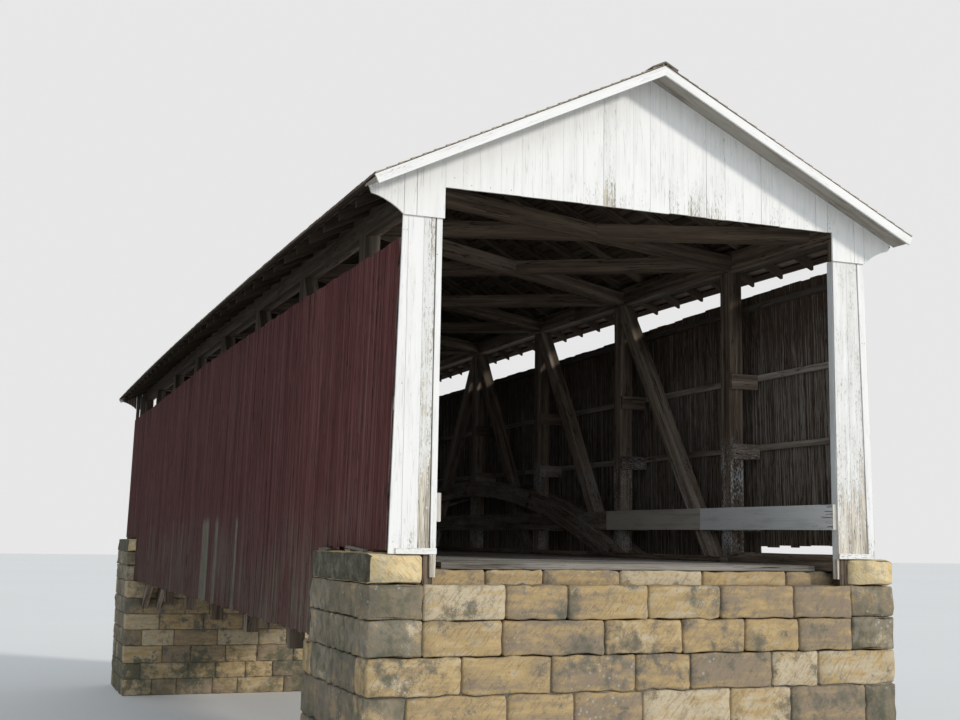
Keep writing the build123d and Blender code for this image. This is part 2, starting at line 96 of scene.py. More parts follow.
@dataclass(frozen=True)
class Plan:
    """The bridge's main sizes in metres, read from the construction where it gives them.

    Args:
        foot: Level of the feet of the portal legs.
        half: From mid-span to the face of a portal's legs.
        inner: Road face of the posts.
        outer: Outer face of the posts.
        posts: Centres of the posts along the road.
        seat: Level of the bridge seats.
        plate: Level of the underside of the upper chords, at the portals.
        ridge: Level of the roof's ridge, at the portals.
        eave: How far out the shingles reach.
        gable_end: How far along the road the shingles reach.
        rear: Back face of the abutments.
        wing_end: Where the wing walls stop.
        slope: Fall of the roof for each metre across.
        camber_rise: How far the plates and the roof rise at mid-span.
        board: Thickness of the portals' boards.
        wall_top_x: Outer face of the side walls at their measured head.
        wall_top_rise: Height of that head above the foot.
        batter: How far walls and legs come out for each metre down.
        wall_foot_drop: How far the walls hang below the foot.
        wall_thick: Thickness of the walls' boards.
        post_depth: Size of a post along the road.
    """

    foot: float
    half: float
    inner: float
    outer: float
    posts: Array
    seat: float
    plate: float
    ridge: float
    eave: float
    gable_end: float
    rear: float
    wing_end: float
    slope: float = 0.492
    camber_rise: float = 0.11
    board: float = 0.025
    wall_top_x: float = 2.898
    wall_top_rise: float = 3.36
    batter: float = 0.0207
    wall_foot_drop: float = 1.0
    wall_thick: float = 0.022
    post_depth: float = 0.23

    @classmethod
    def from_frame(cls) -> "Plan":
        """Reads the plan from the boxes of the construction's nodes."""
        posts_low, posts_high = (np.array(corner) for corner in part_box("right_posts"))
        end_post = posts_high[1] - cls.post_depth / 2
        shingles_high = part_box("right_shingles")[1]
        abutment_low, abutment_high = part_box("near_abutment")
        wing_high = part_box("near_wing_walls")[1]
        return cls(
            foot=wing_high[2],
            half=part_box("right_siding")[1][1] + cls.board,
            inner=posts_low[0],
            outer=posts_high[0],
            posts=np.linspace(-end_post, end_post, 7),
            seat=abutment_high[2],
            plate=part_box("right_upper_chord")[0][2],
            ridge=shingles_high[2] - cls.camber_rise,
            eave=shingles_high[0],
            gable_end=shingles_high[1],
            rear=-abutment_low[1],
            wing_end=-wing_high[1],
        )

    @property
    def per_run(self) -> float:
        """Length down the roof for each metre across it."""
        return math.hypot(1.0, self.slope)

    @property
    def truss_x(self) -> float:
        """Middle plane of a truss."""
        return (self.inner + self.outer) / 2

    def camber(self, y: Array) -> Array:
        """How far the roof rises above its ends: a circle through the ends and the mid-span rise."""
        radius = (self.half**2 + self.camber_rise**2) / (2 * self.camber_rise)
        return np.sqrt(radius**2 - np.square(y)) - (radius - self.camber_rise)

    def roof(self, x: Array, y: Array, below: float = 0.0) -> Array:
        """Height of a surface a given thickness below the shingles' top: ridge less slope times |x|."""
        return self.ridge + self.camber(y) - self.slope * np.abs(x) - below * self.per_run

    def wall_x(self, z: Array) -> Array:
        """Distance of the leaning wall's outer face from the middle: it grows by the batter downwards."""
        return self.wall_top_x + self.batter * (self.foot + self.wall_top_rise - z)


def unit(vectors: Array) -> Array:
    """Vectors scaled to a length of one."""
    return vectors / np.linalg.norm(vectors, axis=-1, keepdims=True)


def ripple(points: Array, wave: float, seed: int) -> Array:
    """A smooth random value for each point: the sum of six sine waves in random directions.

    Args:
        points: Places, with X, Y and Z last.
        wave: Usual wave length in metres.
        seed: Seed of the directions.

    Returns:
        Values of about -1 to 1, one for each place.
    """
    rng = np.random.default_rng(seed)
    total = np.zeros(points.shape[:-1])
    for _ in range(6):
        direction = unit(rng.normal(size=3)) * 2 * np.pi / (wave * rng.uniform(0.6, 1.7))
        total += np.sin(points @ direction + rng.uniform(0, 2 * np.pi))
    return total / math.sqrt(6.0)


def strips(rng: np.random.Generator, start: float, stop: float, least: float, most: float) -> Array:
    """Edges of boards of uneven width that fill a length exactly.

    Args:
        rng: Source of the widths.
        start: First edge.
        stop: Last edge.
        least: Least width before the row is fitted.
        most: Greatest width before the row is fitted.

    Returns:
        The edges, one more than there are boards.
    """
    count = max(1, round((stop - start) / ((least + most) / 2)))
    widths = rng.uniform(least, most, count)
    return start + (stop - start) * np.concatenate([[0.0], np.cumsum(widths) / widths.sum()])


def middles(edges: Array) -> Array:
    """Centres between neighbouring edges."""
    return (edges[1:] + edges[:-1]) / 2


def sawn(width: Array, depth: Array, chamfer: float = 0.004) -> Array:
    """Sections of squared stock: a rectangle with its four corners planed off.

    Args:
        width: Size across, one or one for each piece.
        depth: Size the other way.
        chamfer: How much is planed off.

    Returns:
        Eight points for each piece, as an array of pieces, 1, 8 and 2.
    """
    a, b = np.broadcast_arrays(np.atleast_1d(width) / 2.0, np.atleast_1d(depth) / 2.0)
    c = np.minimum(chamfer, np.minimum(a, b) * 0.6)
    half = [(-a + c, -b), (a - c, -b), (a, -b + c), (a, b - c)]
    ring = half + [(-x, -y) for x, y in half]
    return np.stack([np.stack(point, axis=-1) for point in ring], axis=1)[:, None]


def disc(sides: int, radius: float) -> Array:
    """Section of a regular prism: points evenly round a circle."""
    turn = 2 * np.pi * (np.arange(sides) + 0.5) / sides
    return radius * np.stack([np.cos(turn), np.sin(turn)], axis=-1)[None, None]


def place(x: Any, y: Any, z: Any) -> Array:
    """Points from coordinates that may each be one number or an array."""
    return np.stack(np.broadcast_arrays(*(np.asarray(v, float) for v in (x, y, z))), axis=-1)


def between(start: Any, stop: Any, rows: int) -> Array:
    """Straight lines with evenly spaced rows: start plus a share of the way to stop.

    Args:
        start: Points, or their X, Y and Z as a tuple of numbers or arrays.
        stop: The same for the other ends.
        rows: Number of rows.

    Returns:
        The lines, as lines, rows and 3.
    """
    start, stop = (np.atleast_2d(place(*end) if isinstance(end, tuple) else end) for end in (start, stop))
    share = np.linspace(0.0, 1.0, rows)[None, :, None]
    return start[:, None, :] * (1 - share) + stop[:, None, :] * share


def butted(x: Any, ends: Array, z: Any, rows: int, gap: float = 0.002) -> Array:
    """Straight lengths along the road that butt at the ends, each held back by a gap.

    Args:
        x: Distance to the right.
        ends: Where the lengths meet, along the road.
        z: Height.
        rows: Number of rows of each length.
        gap: How far each length stops short.

    Returns:
        The lines, as lengths, rows and 3.
    """
    return between((x, ends[:-1] + gap, z), (x, ends[1:] - gap, z), rows)


class Stock:
    """Boards, timbers, stones and fixings gathered into one mesh.

    Each bar is a section carried along a line. It keeps a grain map in metres, with U along the
    bar, and marks on its faces: a tone of its own, whether the face is an end, and how much of
    it was painted.
    """

    MARKS = ("tone", "end", "paint")

    def __init__(self, seed: int) -> None:
        """Starts empty, with its own seeded source of chance."""
        self.rng = np.random.default_rng(seed)
        self.points: list[Array] = []
        self.quads: list[Array] = []
        self.grain: list[Array] = []
        self.slots: list[Array] = []
        self.marks: dict[str, list[Array]] = {mark: [] for mark in self.MARKS}
        self.count = 0

    def bars(
        self,
        lines: Array,
        across: Array,
        section: Array,
        cuts: tuple[Array | None, Array | None] = (None, None),
        tone: Array | float | None = None,
        paint: Any = 1.0,
        slot: int = 0,
        rough: float = 0.0,
        wave: float = 0.3,
        floor: float | None = None,
    ) -> None:
        """Adds bars: section times the two directions across a line, at each row of the line.

        Args:
            lines: Centre lines, as bars, rows and 3.
            across: Direction of the section's first axis, one or one for each bar.
            section: Points round each section, as bars or 1, rows or 1, points and 2.
            cuts: Normals of the planes that cut the first and the last end, or None for square ends.
            tone: Value of each bar from 0 to 1, or None for random ones.
            paint: Share of paint, one, or one for each point round the section.
            slot: Number of the finish in the piece's list.
            rough: How far the surface wanders, in metres.
            wave: Length over which it wanders.
            floor: Level that no point goes below.
        """
        lines = np.asarray(lines, float)
        count, rows = lines.shape[:2]
        section = np.broadcast_to(section, (count, rows, section.shape[-2], 2))
        tangent = unit(np.gradient(lines, axis=1))
        first = np.broadcast_to(across, (count, 3))[:, None, :]
        second = unit(np.cross(tangent, first))
        first = np.cross(second, tangent)
        offset = section[..., :1] * first[:, :, None, :] + section[..., 1:] * second[:, :, None, :]
        places = lines[:, :, None, :] + offset
        for row, cut in zip((0, -1), cuts):
            if cut is not None:
                normal = np.broadcast_to(cut, (count, 3))[:, None, :]
                along = tangent[:, row, None, :]
                slip = -(offset[:, row] * normal).sum(-1) / (along * normal).sum(-1)
                places[:, row] += slip[..., None] * along
        if rough:
            seed = int(self.rng.integers(1 << 30))
            places = places + unit(offset) * (ripple(places, wave, seed) * rough)[..., None]
        if floor is not None:
            places[..., 2] = np.maximum(places[..., 2], floor)
        self._add_faces(places, lines, section, tone, paint, slot)

    def _add_faces(
        self, places: Array, lines: Array, section: Array, tone: Array | float | None, paint: Any, slot: int
    ) -> None:
        """Joins rows of points into closed bars, with the grain map and the marks.

        Args:
            places: Points, as bars, rows, points round and 3.
            lines: The centre lines.
            section: The sections.
            tone: Value of each bar, or None.
            paint: Share of paint.
            slot: Number of the finish.
        """
        count, rows, ring = places.shape[:3]
        shift = self.rng.uniform(0.0, 40.0, (count, 1, 1, 2))
        length = self._run(lines)
        girth = self._run(np.concatenate([section[:, 0], section[:, 0, :1]], axis=1))
        r, k = (i.ravel() for i in np.meshgrid(np.arange(rows - 1), np.arange(ring), indexing="ij"))
        corners = [(r, k), (r, k + 1), (r + 1, k + 1), (r + 1, k)]
        sides = np.stack([i * ring + j % ring for i, j in corners], axis=-1)
        side_grain = np.stack([np.stack([length[:, i], girth[:, j]], axis=-1) for i, j in corners], axis=2)
        j = np.arange(ring // 2 - 1)
        end = np.stack([j, j + 1, ring - 2 - j, ring - 1 - j], axis=-1)
        start = end[:, ::-1]
        end_grain = np.concatenate([section[:, 0][:, start], section[:, -1][:, end]], axis=1)
        quads = np.concatenate([sides, start, end + (rows - 1) * ring])
        base = self.count + np.arange(count)[:, None, None] * rows * ring
        faces = len(quads)
        is_end = np.arange(faces) >= len(sides)
        tone = self.rng.uniform(0.0, 1.0, count) if tone is None else np.broadcast_to(tone, (count,))
        coat = np.broadcast_to(paint, (ring,))
        coat = np.concatenate([coat[k], np.full(faces - len(sides), coat.max())])
        self.points.append(places.reshape(-1, 3))
        self.quads.append((quads[None] + base).reshape(-1, 4))
        self.grain.append((np.concatenate([side_grain, end_grain], axis=1) + shift).reshape(-1, 2))
        self.slots.append(np.full(count * faces, slot))
        self.marks["tone"].append(np.repeat(tone, faces))
        self.marks["end"].append(np.tile(is_end.astype(float), count))
        self.marks["paint"].append(np.tile(coat, count))
        self.count += places.size // 3

    @staticmethod
    def _run(path: Array) -> Array:
        """Distance of each point from the first along its path, as paths and points."""
        steps = np.linalg.norm(np.diff(path, axis=1), axis=-1)
        return np.concatenate([np.zeros((len(path), 1)), np.cumsum(steps, axis=1)], axis=1)

    def fixings(self, places: Array, outward: Any, radius: float, proud: float, sides: int = 6) -> None:
        """Adds nail heads, washers or nuts of the second finish: short prisms that stand on a face.

        Args:
            places: Where each one sits.
            outward: Direction in which it stands proud.
            radius: Radius of the head.
            proud: How far it stands out.
            sides: Number of sides, even.
        """
        outward = unit(np.asarray(outward, float))
        line = between(places - outward * proud, places + outward * proud, 2)
        helper = Y_AXIS if abs(outward[1]) < 0.9 else X_AXIS
        self.bars(line, np.cross(outward, helper), disc(sides, radius), slot=1)

    def piece(self, name: str, finishes: list[Material], smooth: bool) -> bpy.types.Object:
        """Makes the mesh and its object.

        Args:
            name: Name of the piece.
            finishes: Materials in the order of the slots.
            smooth: Whether its faces are shaded as one surface.

        Returns:
            The object, at the origin.
        """
        mesh = bpy.data.meshes.new(name)
        mesh.from_pydata(np.concatenate(self.points), [], np.concatenate(self.quads))
        mesh.uv_layers.new(name="grain").data.foreach_set("uv", np.concatenate(self.grain).ravel())
        mesh.polygons.foreach_set("material_index", np.concatenate(self.slots).astype(np.int32))
        mesh.polygons.foreach_set("use_smooth", np.full(len(mesh.polygons), smooth))
        for mark, values in self.marks.items():
            layer = mesh.attributes.new(mark, "FLOAT", "FACE")
            layer.data.foreach_set("value", np.concatenate(values).astype(np.float32))
        mesh.update()
        for finish in finishes:
            mesh.materials.append(finish)
        obj = add_object(name, mesh)
        log.info("%s: %d triangles", name, 2 * len(mesh.polygons))
        return obj


def add_object(name: str, data: Any) -> bpy.types.Object:
    """Puts a mesh, a lamp or a camera into the scene."""
    obj = bpy.data.objects.new(name, data)
    bpy.context.scene.collection.objects.link(obj)
    return obj


def maths(operation: str, swapped: bool = False) -> Callable[..., "Sock"]:
    """A method that adds one Math node, with its values swapped where a number comes first."""

    def method(self: "Sock", *others: Any) -> "Sock":
        """Adds the node for this value and the others."""
        values = (*others, self) if swapped else (self, *others)
        return self.graph.node("Math", {"operation": operation}, dict(enumerate(values)))

    return method


@dataclass(frozen=True, eq=False)
class Sock:
    """A shader value that takes part in Python arithmetic, where each sign adds a Math node."""

    graph: "Graph"
    socket: bpy.types.NodeSocket

    __add__, __radd__ = maths("ADD"), maths("ADD", True)
    __sub__, __rsub__ = maths("SUBTRACT"), maths("SUBTRACT", True)
    __mul__, __rmul__ = maths("MULTIPLY"), maths("MULTIPLY", True)
    __abs__, least, most = maths("ABSOLUTE"), maths("MINIMUM"), maths("MAXIMUM")

    def output(self, number: int) -> "Sock":
        """Another output of the same node."""
        return Sock(self.graph, self.socket.node.outputs[number])

    def ease(self, low: float, high: float) -> "Sock":
        """A smooth step from 0 at low to 1 at high, or back down where low is the greater."""
        inputs = {0: self, 1: min(low, high), 2: max(low, high), 3: 0.0, 4: 1.0}
        step = self.graph.node("MapRange", {"interpolation_type": "SMOOTHSTEP"}, inputs)
        return step if low < high else 1.0 - step


class Graph:
    """The nodes of one material."""

    def __init__(self, name: str) -> None:
        """Starts a material with one Principled shader."""
        self.material = bpy.data.materials.new(name)
        self.material.use_nodes = True
        self.tree = self.material.node_tree
        self.shader = next(n for n in self.tree.nodes if n.type == "BSDF_PRINCIPLED")

    def node(self, kind: str, settings: dict[str, Any], inputs: dict[Any, Any], output: Any = 0) -> Sock:
        """Adds a node, sets it up and then feeds its sockets.

        Args:
            kind: The node's type, without the usual first words.
            settings: Its properties.
            inputs: Values or other sockets, by socket name or number.
            output: Which of its outputs is given back.

        Returns:
            The output.
        """
        made = self.tree.nodes.new(f"ShaderNode{kind}")
        for key, value in settings.items():
            setattr(made, key, value)
        for key, value in inputs.items():
            self.feed(made.inputs[key], value)
        return Sock(self, made.outputs[output])

    def feed(self, socket: bpy.types.NodeSocket, value: Any) -> None:
        """Links a socket to a value's node, or sets it to a number or a colour."""
        if isinstance(value, Sock):
            self.tree.links.new(value.socket, socket)
        else:
            socket.default_value = (*value, 1.0) if socket.type == "RGBA" else value

    def mark(self, name: str) -> Sock:
        """One of the marks on the faces."""
        return self.node("Attribute", {"attribute_name": name}, {}, "Fac")

    @cached_property
    def grain(self) -> tuple[Sock, Sock]:
        """Places along and across the grain, in metres."""
        along = self.node("SeparateXYZ", {}, {0: self.node("UVMap", {"uv_map": "grain"}, {})})
        return along, along.output(1)

    @cached_property
    def spot(self) -> Sock:
        """The place on the bridge, in metres."""
        return self.node("TexCoord", {}, {}, "Object")

    def axes(self) -> tuple[Sock, Sock, Sock]:
        """The place on the bridge, as X, Y and Z."""
        x = self.node("SeparateXYZ", {}, {0: self.spot})
        return x, x.output(1), x.output(2)

    def noise(
        self, scale: float, detail: float = 3.0, rough: float = 0.55, vector: Sock | None = None
    ) -> Sock:
        """Noise about 0.5, where one cell is one over scale.

        Args:
            scale: Cells for each metre.
            detail: Number of finer layers.
            rough: How strong they are.
            vector: Where it is read, or None for the place on the bridge.

        Returns:
            The noise.
        """
        inputs = {"Vector": vector or self.spot, "Scale": scale, "Detail": detail, "Roughness": rough}
        return self.node("TexNoise", {}, inputs)

    def fibres(self, along: Any, over: Any, seed: Any, detail: float = 2.0, rough: float = 0.55) -> Sock:
        """Noise stretched along the grain and new for each piece.

        Args:
            along: Cells for each metre along the grain, or the place along itself.
            over: Cells for each metre across it, or the place across itself.
            seed: Value that tells the pieces and the patterns apart.
            detail: Number of finer layers.
            rough: How strong they are.

        Returns:
            The noise.
        """
        ways = zip(self.grain, (along, over))
        u, v = (way if isinstance(way, Sock) else axis * way for axis, way in ways)
        return self.noise(1.0, detail, rough, self.node("CombineXYZ", {}, {0: u, 1: v, 2: seed}))

    def cells(self, scale: float) -> Sock:
        """Distance to the nearest of a field of random dots."""
        return self.node("TexVoronoi", {}, {"Vector": self.spot, "Scale": scale}, "Distance")

    def ramp(self, value: Sock, *stops: tuple[float, Colour]) -> Sock:
        """A colour that runs through stops, each a place and a colour."""
        made = self.node("ValToRGB", {}, {0: value})
        elements = made.socket.node.color_ramp.elements
        while len(elements) < len(stops):
            elements.new(1.0)
        for element, (spot, colour) in zip(elements, stops):
            element.position = spot
            element.color = (*colour, 1.0)
        return made

    def mix(self, share: Any, first: Any, second: Any) -> Sock:
        """One colour laid over another by a share."""
        made = self.node("Mix", {"data_type": "RGBA"}, {0: share})
        for number, value in ((6, first), (7, second)):
            self.feed(made.socket.node.inputs[number], value)
        return made.output(2)

    def coats(self, colour: Any, *coats: tuple[Sock, Any]) -> Sock:
        """Lays coats over a colour in turn, each a share and a colour."""
        for share, coat in coats:
            colour = self.mix(share, colour, coat)
        return colour

    def finish(
        self, colour: Sock, roughness: Any, height: Sock, depth: float, specular: float, metallic: float = 0.0
    ) -> Material:
        """Feeds the shader.

        Args:
            colour: Base colour.
            roughness: Roughness, a value or a number.
            height: Height of the surface's relief, about 0 to 1.
            depth: What a height of 1 measures, in metres.
            specular: Specular level.
            metallic: Share of metal.

        Returns:
            The material.
        """
        relief = self.node("Bump", {}, {"Strength": 1.0, "Distance": depth, "Height": height}, "Normal")
        values = {"Base Color": colour, "Roughness": roughness, "Normal": relief}
        values |= {"Specular IOR Level": specular, "Metallic": metallic}
        for name, value in values.items():
            self.feed(self.shader.inputs[name], value)
        return self.material


@dataclass(frozen=True)
class WoodFields:
    """Patterns that every wooden finish shares.

    Args:
        streak: Broad streaks along the grain.
        fine: Fine fibres.
        sound: 1 on sound wood and 0 in a drying crack.
        tone: The piece's own value.
        relief: Height of the wood's surface.
    """

    streak: Sock
    fine: Sock
    sound: Sock
    tone: Sock
    relief: Sock

    @classmethod
    def on(cls, graph: Graph) -> "WoodFields":
        """Builds the patterns: noise stretched many times along the grain, new for each piece."""
        tone = graph.mark("tone")
        seed = tone * 61.7
        streak = graph.fibres(0.55, 15.0, seed, 5.0, 0.62)
        fine = graph.fibres(5.0, 210.0, seed)
        split = graph.fibres(0.9, 26.0, seed + 9.0)
        patchy = graph.fibres(0.8, 6.0, seed + 4.0, 1.0)
        sound = (abs(split - 0.5) + (0.5 - patchy).most(0.0) * 0.3).ease(0.003, 0.02)
        return cls(streak, fine, sound, tone, streak * 0.5 + fine * 0.3 + sound * 0.6)


def dimmed(colour: Colour, share: float) -> Colour:
    """A colour at a share of its brightness."""
    return tuple(share * part for part in colour)


@dataclass(frozen=True)
class BareTimber:
    """Old timber that was never painted, brown under cover and grey where light reaches it, and darkened by
    painted shade under the eaves outside the walls.

    In this and the next finishes, pairs named for x, y or z are places between which a change runs.

    Args:
        name: Name of the material.
        dark: Colour in the grain's dark streaks.
        middle: Usual colour.
        pale: Colour of the driest fibres.
        lime: How much whitewash still clings to the timber near the road.
        lanes: How pale the wheels have worn two lanes.
    """

    name: str
    dark: Colour = (0.062, 0.046, 0.034)
    middle: Colour = (0.185, 0.142, 0.105)
    pale: Colour = (0.330, 0.285, 0.235)
    lime: float = 0.0
    lanes: float = 0.0
    limewash: Colour = (0.50, 0.53, 0.56)
    worn: Colour = (0.33, 0.31, 0.28)
    # Where painted shade darkens the timber: outside the walls, at the height of the eaves.
    eave_shade_x: Size = (2.44, 2.60)
    eave_shade_z: Size = (6.5, 7.1)
    limed_z: tuple[Size, Size] = ((5.5, 4.9), (3.6, 4.0))
    lane_x: float = 0.95

    def material(self) -> Material:
        """Builds the finish."""
        g = Graph(self.name)
        wood = WoodFields.on(g)
        x, _, z = g.axes()
        shade = wood.streak + (wood.tone - 0.5) * 0.22 + (wood.fine - 0.5) * 0.45
        colour = g.coats(
            g.ramp(shade, (0.28, self.dark), (0.52, self.middle), (0.78, self.pale)),
            (g.mark("end") * 0.45, self.dark),
            (1.0 - wood.sound, dimmed(self.dark, 0.35)),
            # Painted shade under the eaves, outside the walls.
            (abs(x).ease(*self.eave_shade_x) * z.ease(*self.eave_shade_z) * 0.75, dimmed(self.dark, 0.3)),
        )
        if self.lime:
            dabs = g.fibres(26.0, 70.0, wood.tone * 27.0, 4.0, 0.7)
            patchy = g.fibres(1.3, 4.0, wood.tone * 31.0)
            flecks = (dabs * 0.8 + patchy * 0.4).ease(0.62, 0.67)
            height = z.ease(*self.limed_z[0]) * z.ease(*self.limed_z[1])
            colour = g.mix(flecks * height * self.lime, colour, self.limewash)
        if self.lanes:
            colour = g.mix(abs(abs(x) - self.lane_x).ease(0.75, 0.2) * self.lanes, colour, self.worn)
        return g.finish(colour, 0.88, wood.relief, 0.0035, 0.06)


@dataclass(frozen=True)
class BarnPaint:
    """Thin dark red paint on sawn boards, worn to grey wood in streaks and green-grey low down, and darkened
    by painted shade towards the far end.
    """

    name: str = "barn_red_boards"
    deep: Colour = (0.042, 0.013, 0.013)
    red: Colour = (0.098, 0.032, 0.031)
    faded: Colour = (0.165, 0.078, 0.070)
    wood: Colour = (0.120, 0.095, 0.080)
    pale: Colour = (0.235, 0.255, 0.190)
    haze: Colour = (0.165, 0.170, 0.128)
    shade: Colour = (0.024, 0.010, 0.010)
    inside: Colour = (0.066, 0.046, 0.033)
    dust: Colour = (0.330, 0.305, 0.275)
    crack: Colour = (0.012, 0.009, 0.008)
    haze_z: Size = (4.8, 3.2)
    # Colour of the painted shade that darkens the boards towards the far end.
    pale_z: Size = (4.28, 4.14)
    painted_shade_y: Size = (-11.0, -3.0)
    dust_z: Size = (7.4, 6.0)

    def material(self) -> Material:
        """Builds the finish, painted outside and bare inside."""
        g = Graph(self.name)
        wood = WoodFields.on(g)
        _, y, z = g.axes()
        cloud = g.noise(0.9)
        lines = g.fibres(0.30, 50.0, wood.tone * 19.0, 4.0, 0.75)
        threads = g.fibres(0.8, 170.0, wood.tone * 23.0)
        bands = g.fibres(0.12, 13.0, wood.tone * 29.0)
        shade = lines * 0.55 + threads * 0.3 + bands * 0.3 - 0.075 + (wood.fine - 0.5) * 0.25
        shade = shade + (wood.tone.least(1.0) - 0.5) * 0.05 + (cloud - 0.5) * 0.08
        wear = (lines * 0.5 + threads * 0.5 + (cloud - 0.5) * 0.25).ease(0.56, 0.66)
        low = (z + (lines - 0.5) * 1.1).ease(*self.haze_z)
        growth = (lines * 0.50 + threads * 0.40 + cloud * 0.15).ease(0.51, 0.60)
        bleached = wood.tone.ease(0.9, 1.5) * (z + (threads - 0.5) * 0.4).ease(*self.pale_z)
        paint = g.coats(
            g.ramp(shade, (0.38, self.deep), (0.50, self.red), (0.63, self.faded)),
            (wear * 0.45, self.wood),
            (low * growth, self.haze),
            (bleached * (lines * 0.4 + threads * 0.6).ease(0.34, 0.56), self.pale),
            # Painted shade: darker along the road towards the far end.
            (y.ease(*self.painted_shade_y) * 0.36, self.shade),
        )
        chalk = lines * 0.5 + threads * 0.5 + (wood.fine - 0.5) * 0.4 + z.ease(*self.dust_z) * 0.08
        bare = g.mix(chalk.ease(0.56, 0.67), self.inside, self.dust)
        colour = g.coats(bare, (g.mark("paint"), paint), (1.0 - wood.sound, self.crack))
        return g.finish(colour, 0.9, wood.relief, 0.003, 0.05)


@dataclass(frozen=True)
class WhitePaint:
    """White paint that has flaked off in places down to grey wood, with rain streaks.

    Args:
        name: Name of the material.
        flake: Level of noise above which paint is gone. Less means barer.
        soil: How much dirt is in the paint.
        clean: Colour of sound paint.
        stained: Colour of dirty paint.
        wood: Colour of the wood where paint is gone.
        dark_wood: Colour of its dark grain.
        back: Colour of the boards' bare backs.
        dark_back: Colour of their dark grain.
    """

    name: str = "white_paint"
    flake: float = 0.68
    soil: float = 0.16
    clean: Colour = (0.775, 0.775, 0.760)
    stained: Colour = (0.500, 0.505, 0.490)
    wood: Colour = (0.660, 0.600, 0.490)
    dark_wood: Colour = (0.200, 0.170, 0.130)
    back: Colour = (0.100, 0.078, 0.058)
    dark_back: Colour = (0.045, 0.034, 0.026)
    crack: Colour = (0.060, 0.054, 0.046)
    splash_z: Size = (4.20, 3.82)
    damp_z: Size = (5.3, 3.85)
    sole_z: Size = (3.81, 3.76)
    lintel_z: tuple[Size, Size] = ((8.15, 7.60), (7.40, 7.60))

    def material(self) -> Material:
        """Builds the finish. Faces whose paint is marked as less than none are bare old timber."""
        g = Graph(self.name)
        wood = WoodFields.on(g)
        z = g.axes()[2]
        seed = wood.tone * 33.0
        chips = g.fibres(22.0, 95.0, seed, 4.0, 0.6)
        patch = g.fibres(2.2, 9.0, seed + 3.0, 3.0)
        hairs = g.fibres(1.6, 120.0, seed + 6.0)
        streaks = g.fibres(0.7, 30.0, seed + 8.0, 4.0)
        mark = g.mark("paint")
        worn = 1.0 - mark.most(0.0)
        foot = z.ease(*self.splash_z) * 0.05 + z.ease(*self.damp_z) * (worn * 0.35 + 0.015)
        foot = foot + z.ease(*self.sole_z) * 0.14
        over, under = self.lintel_z
        lintel = z.ease(*over) * z.ease(*under) * (worn * 0.50 + 0.015)
        loss = chips * 0.46 + patch * 0.28 + hairs * 0.26 + foot + lintel + worn * 0.30
        gone = loss.ease(self.flake - 0.03, self.flake)
        rim = loss.ease(self.flake - 0.08, self.flake - 0.02) - gone
        dirt = (streaks * 0.5 + patch * 0.55 + worn * 0.5).ease(0.48, 0.70) * (worn * 0.5 + self.soil)
        grain = (wood.streak * 0.6 + wood.fine * 0.4).ease(0.38, 0.60)
        colour = g.coats(
            self.clean,
            (dirt, self.stained),
            (rim * 0.4, self.stained),
            ((gone + g.mark("end") * 0.8).least(1.0) * 0.9, g.mix(grain, self.dark_wood, self.wood)),
            ((1.0 - wood.sound) * (gone * 0.5 + 0.2), self.crack),
            (mark.ease(-0.3, -0.7), g.mix(grain, self.dark_back, self.back)),
        )
        relief = wood.relief * (0.30 + 0.70 * gone) - gone * 0.35
        return g.finish(colour, 0.6 + gone * 0.25, relief, 0.0022, 0.35)


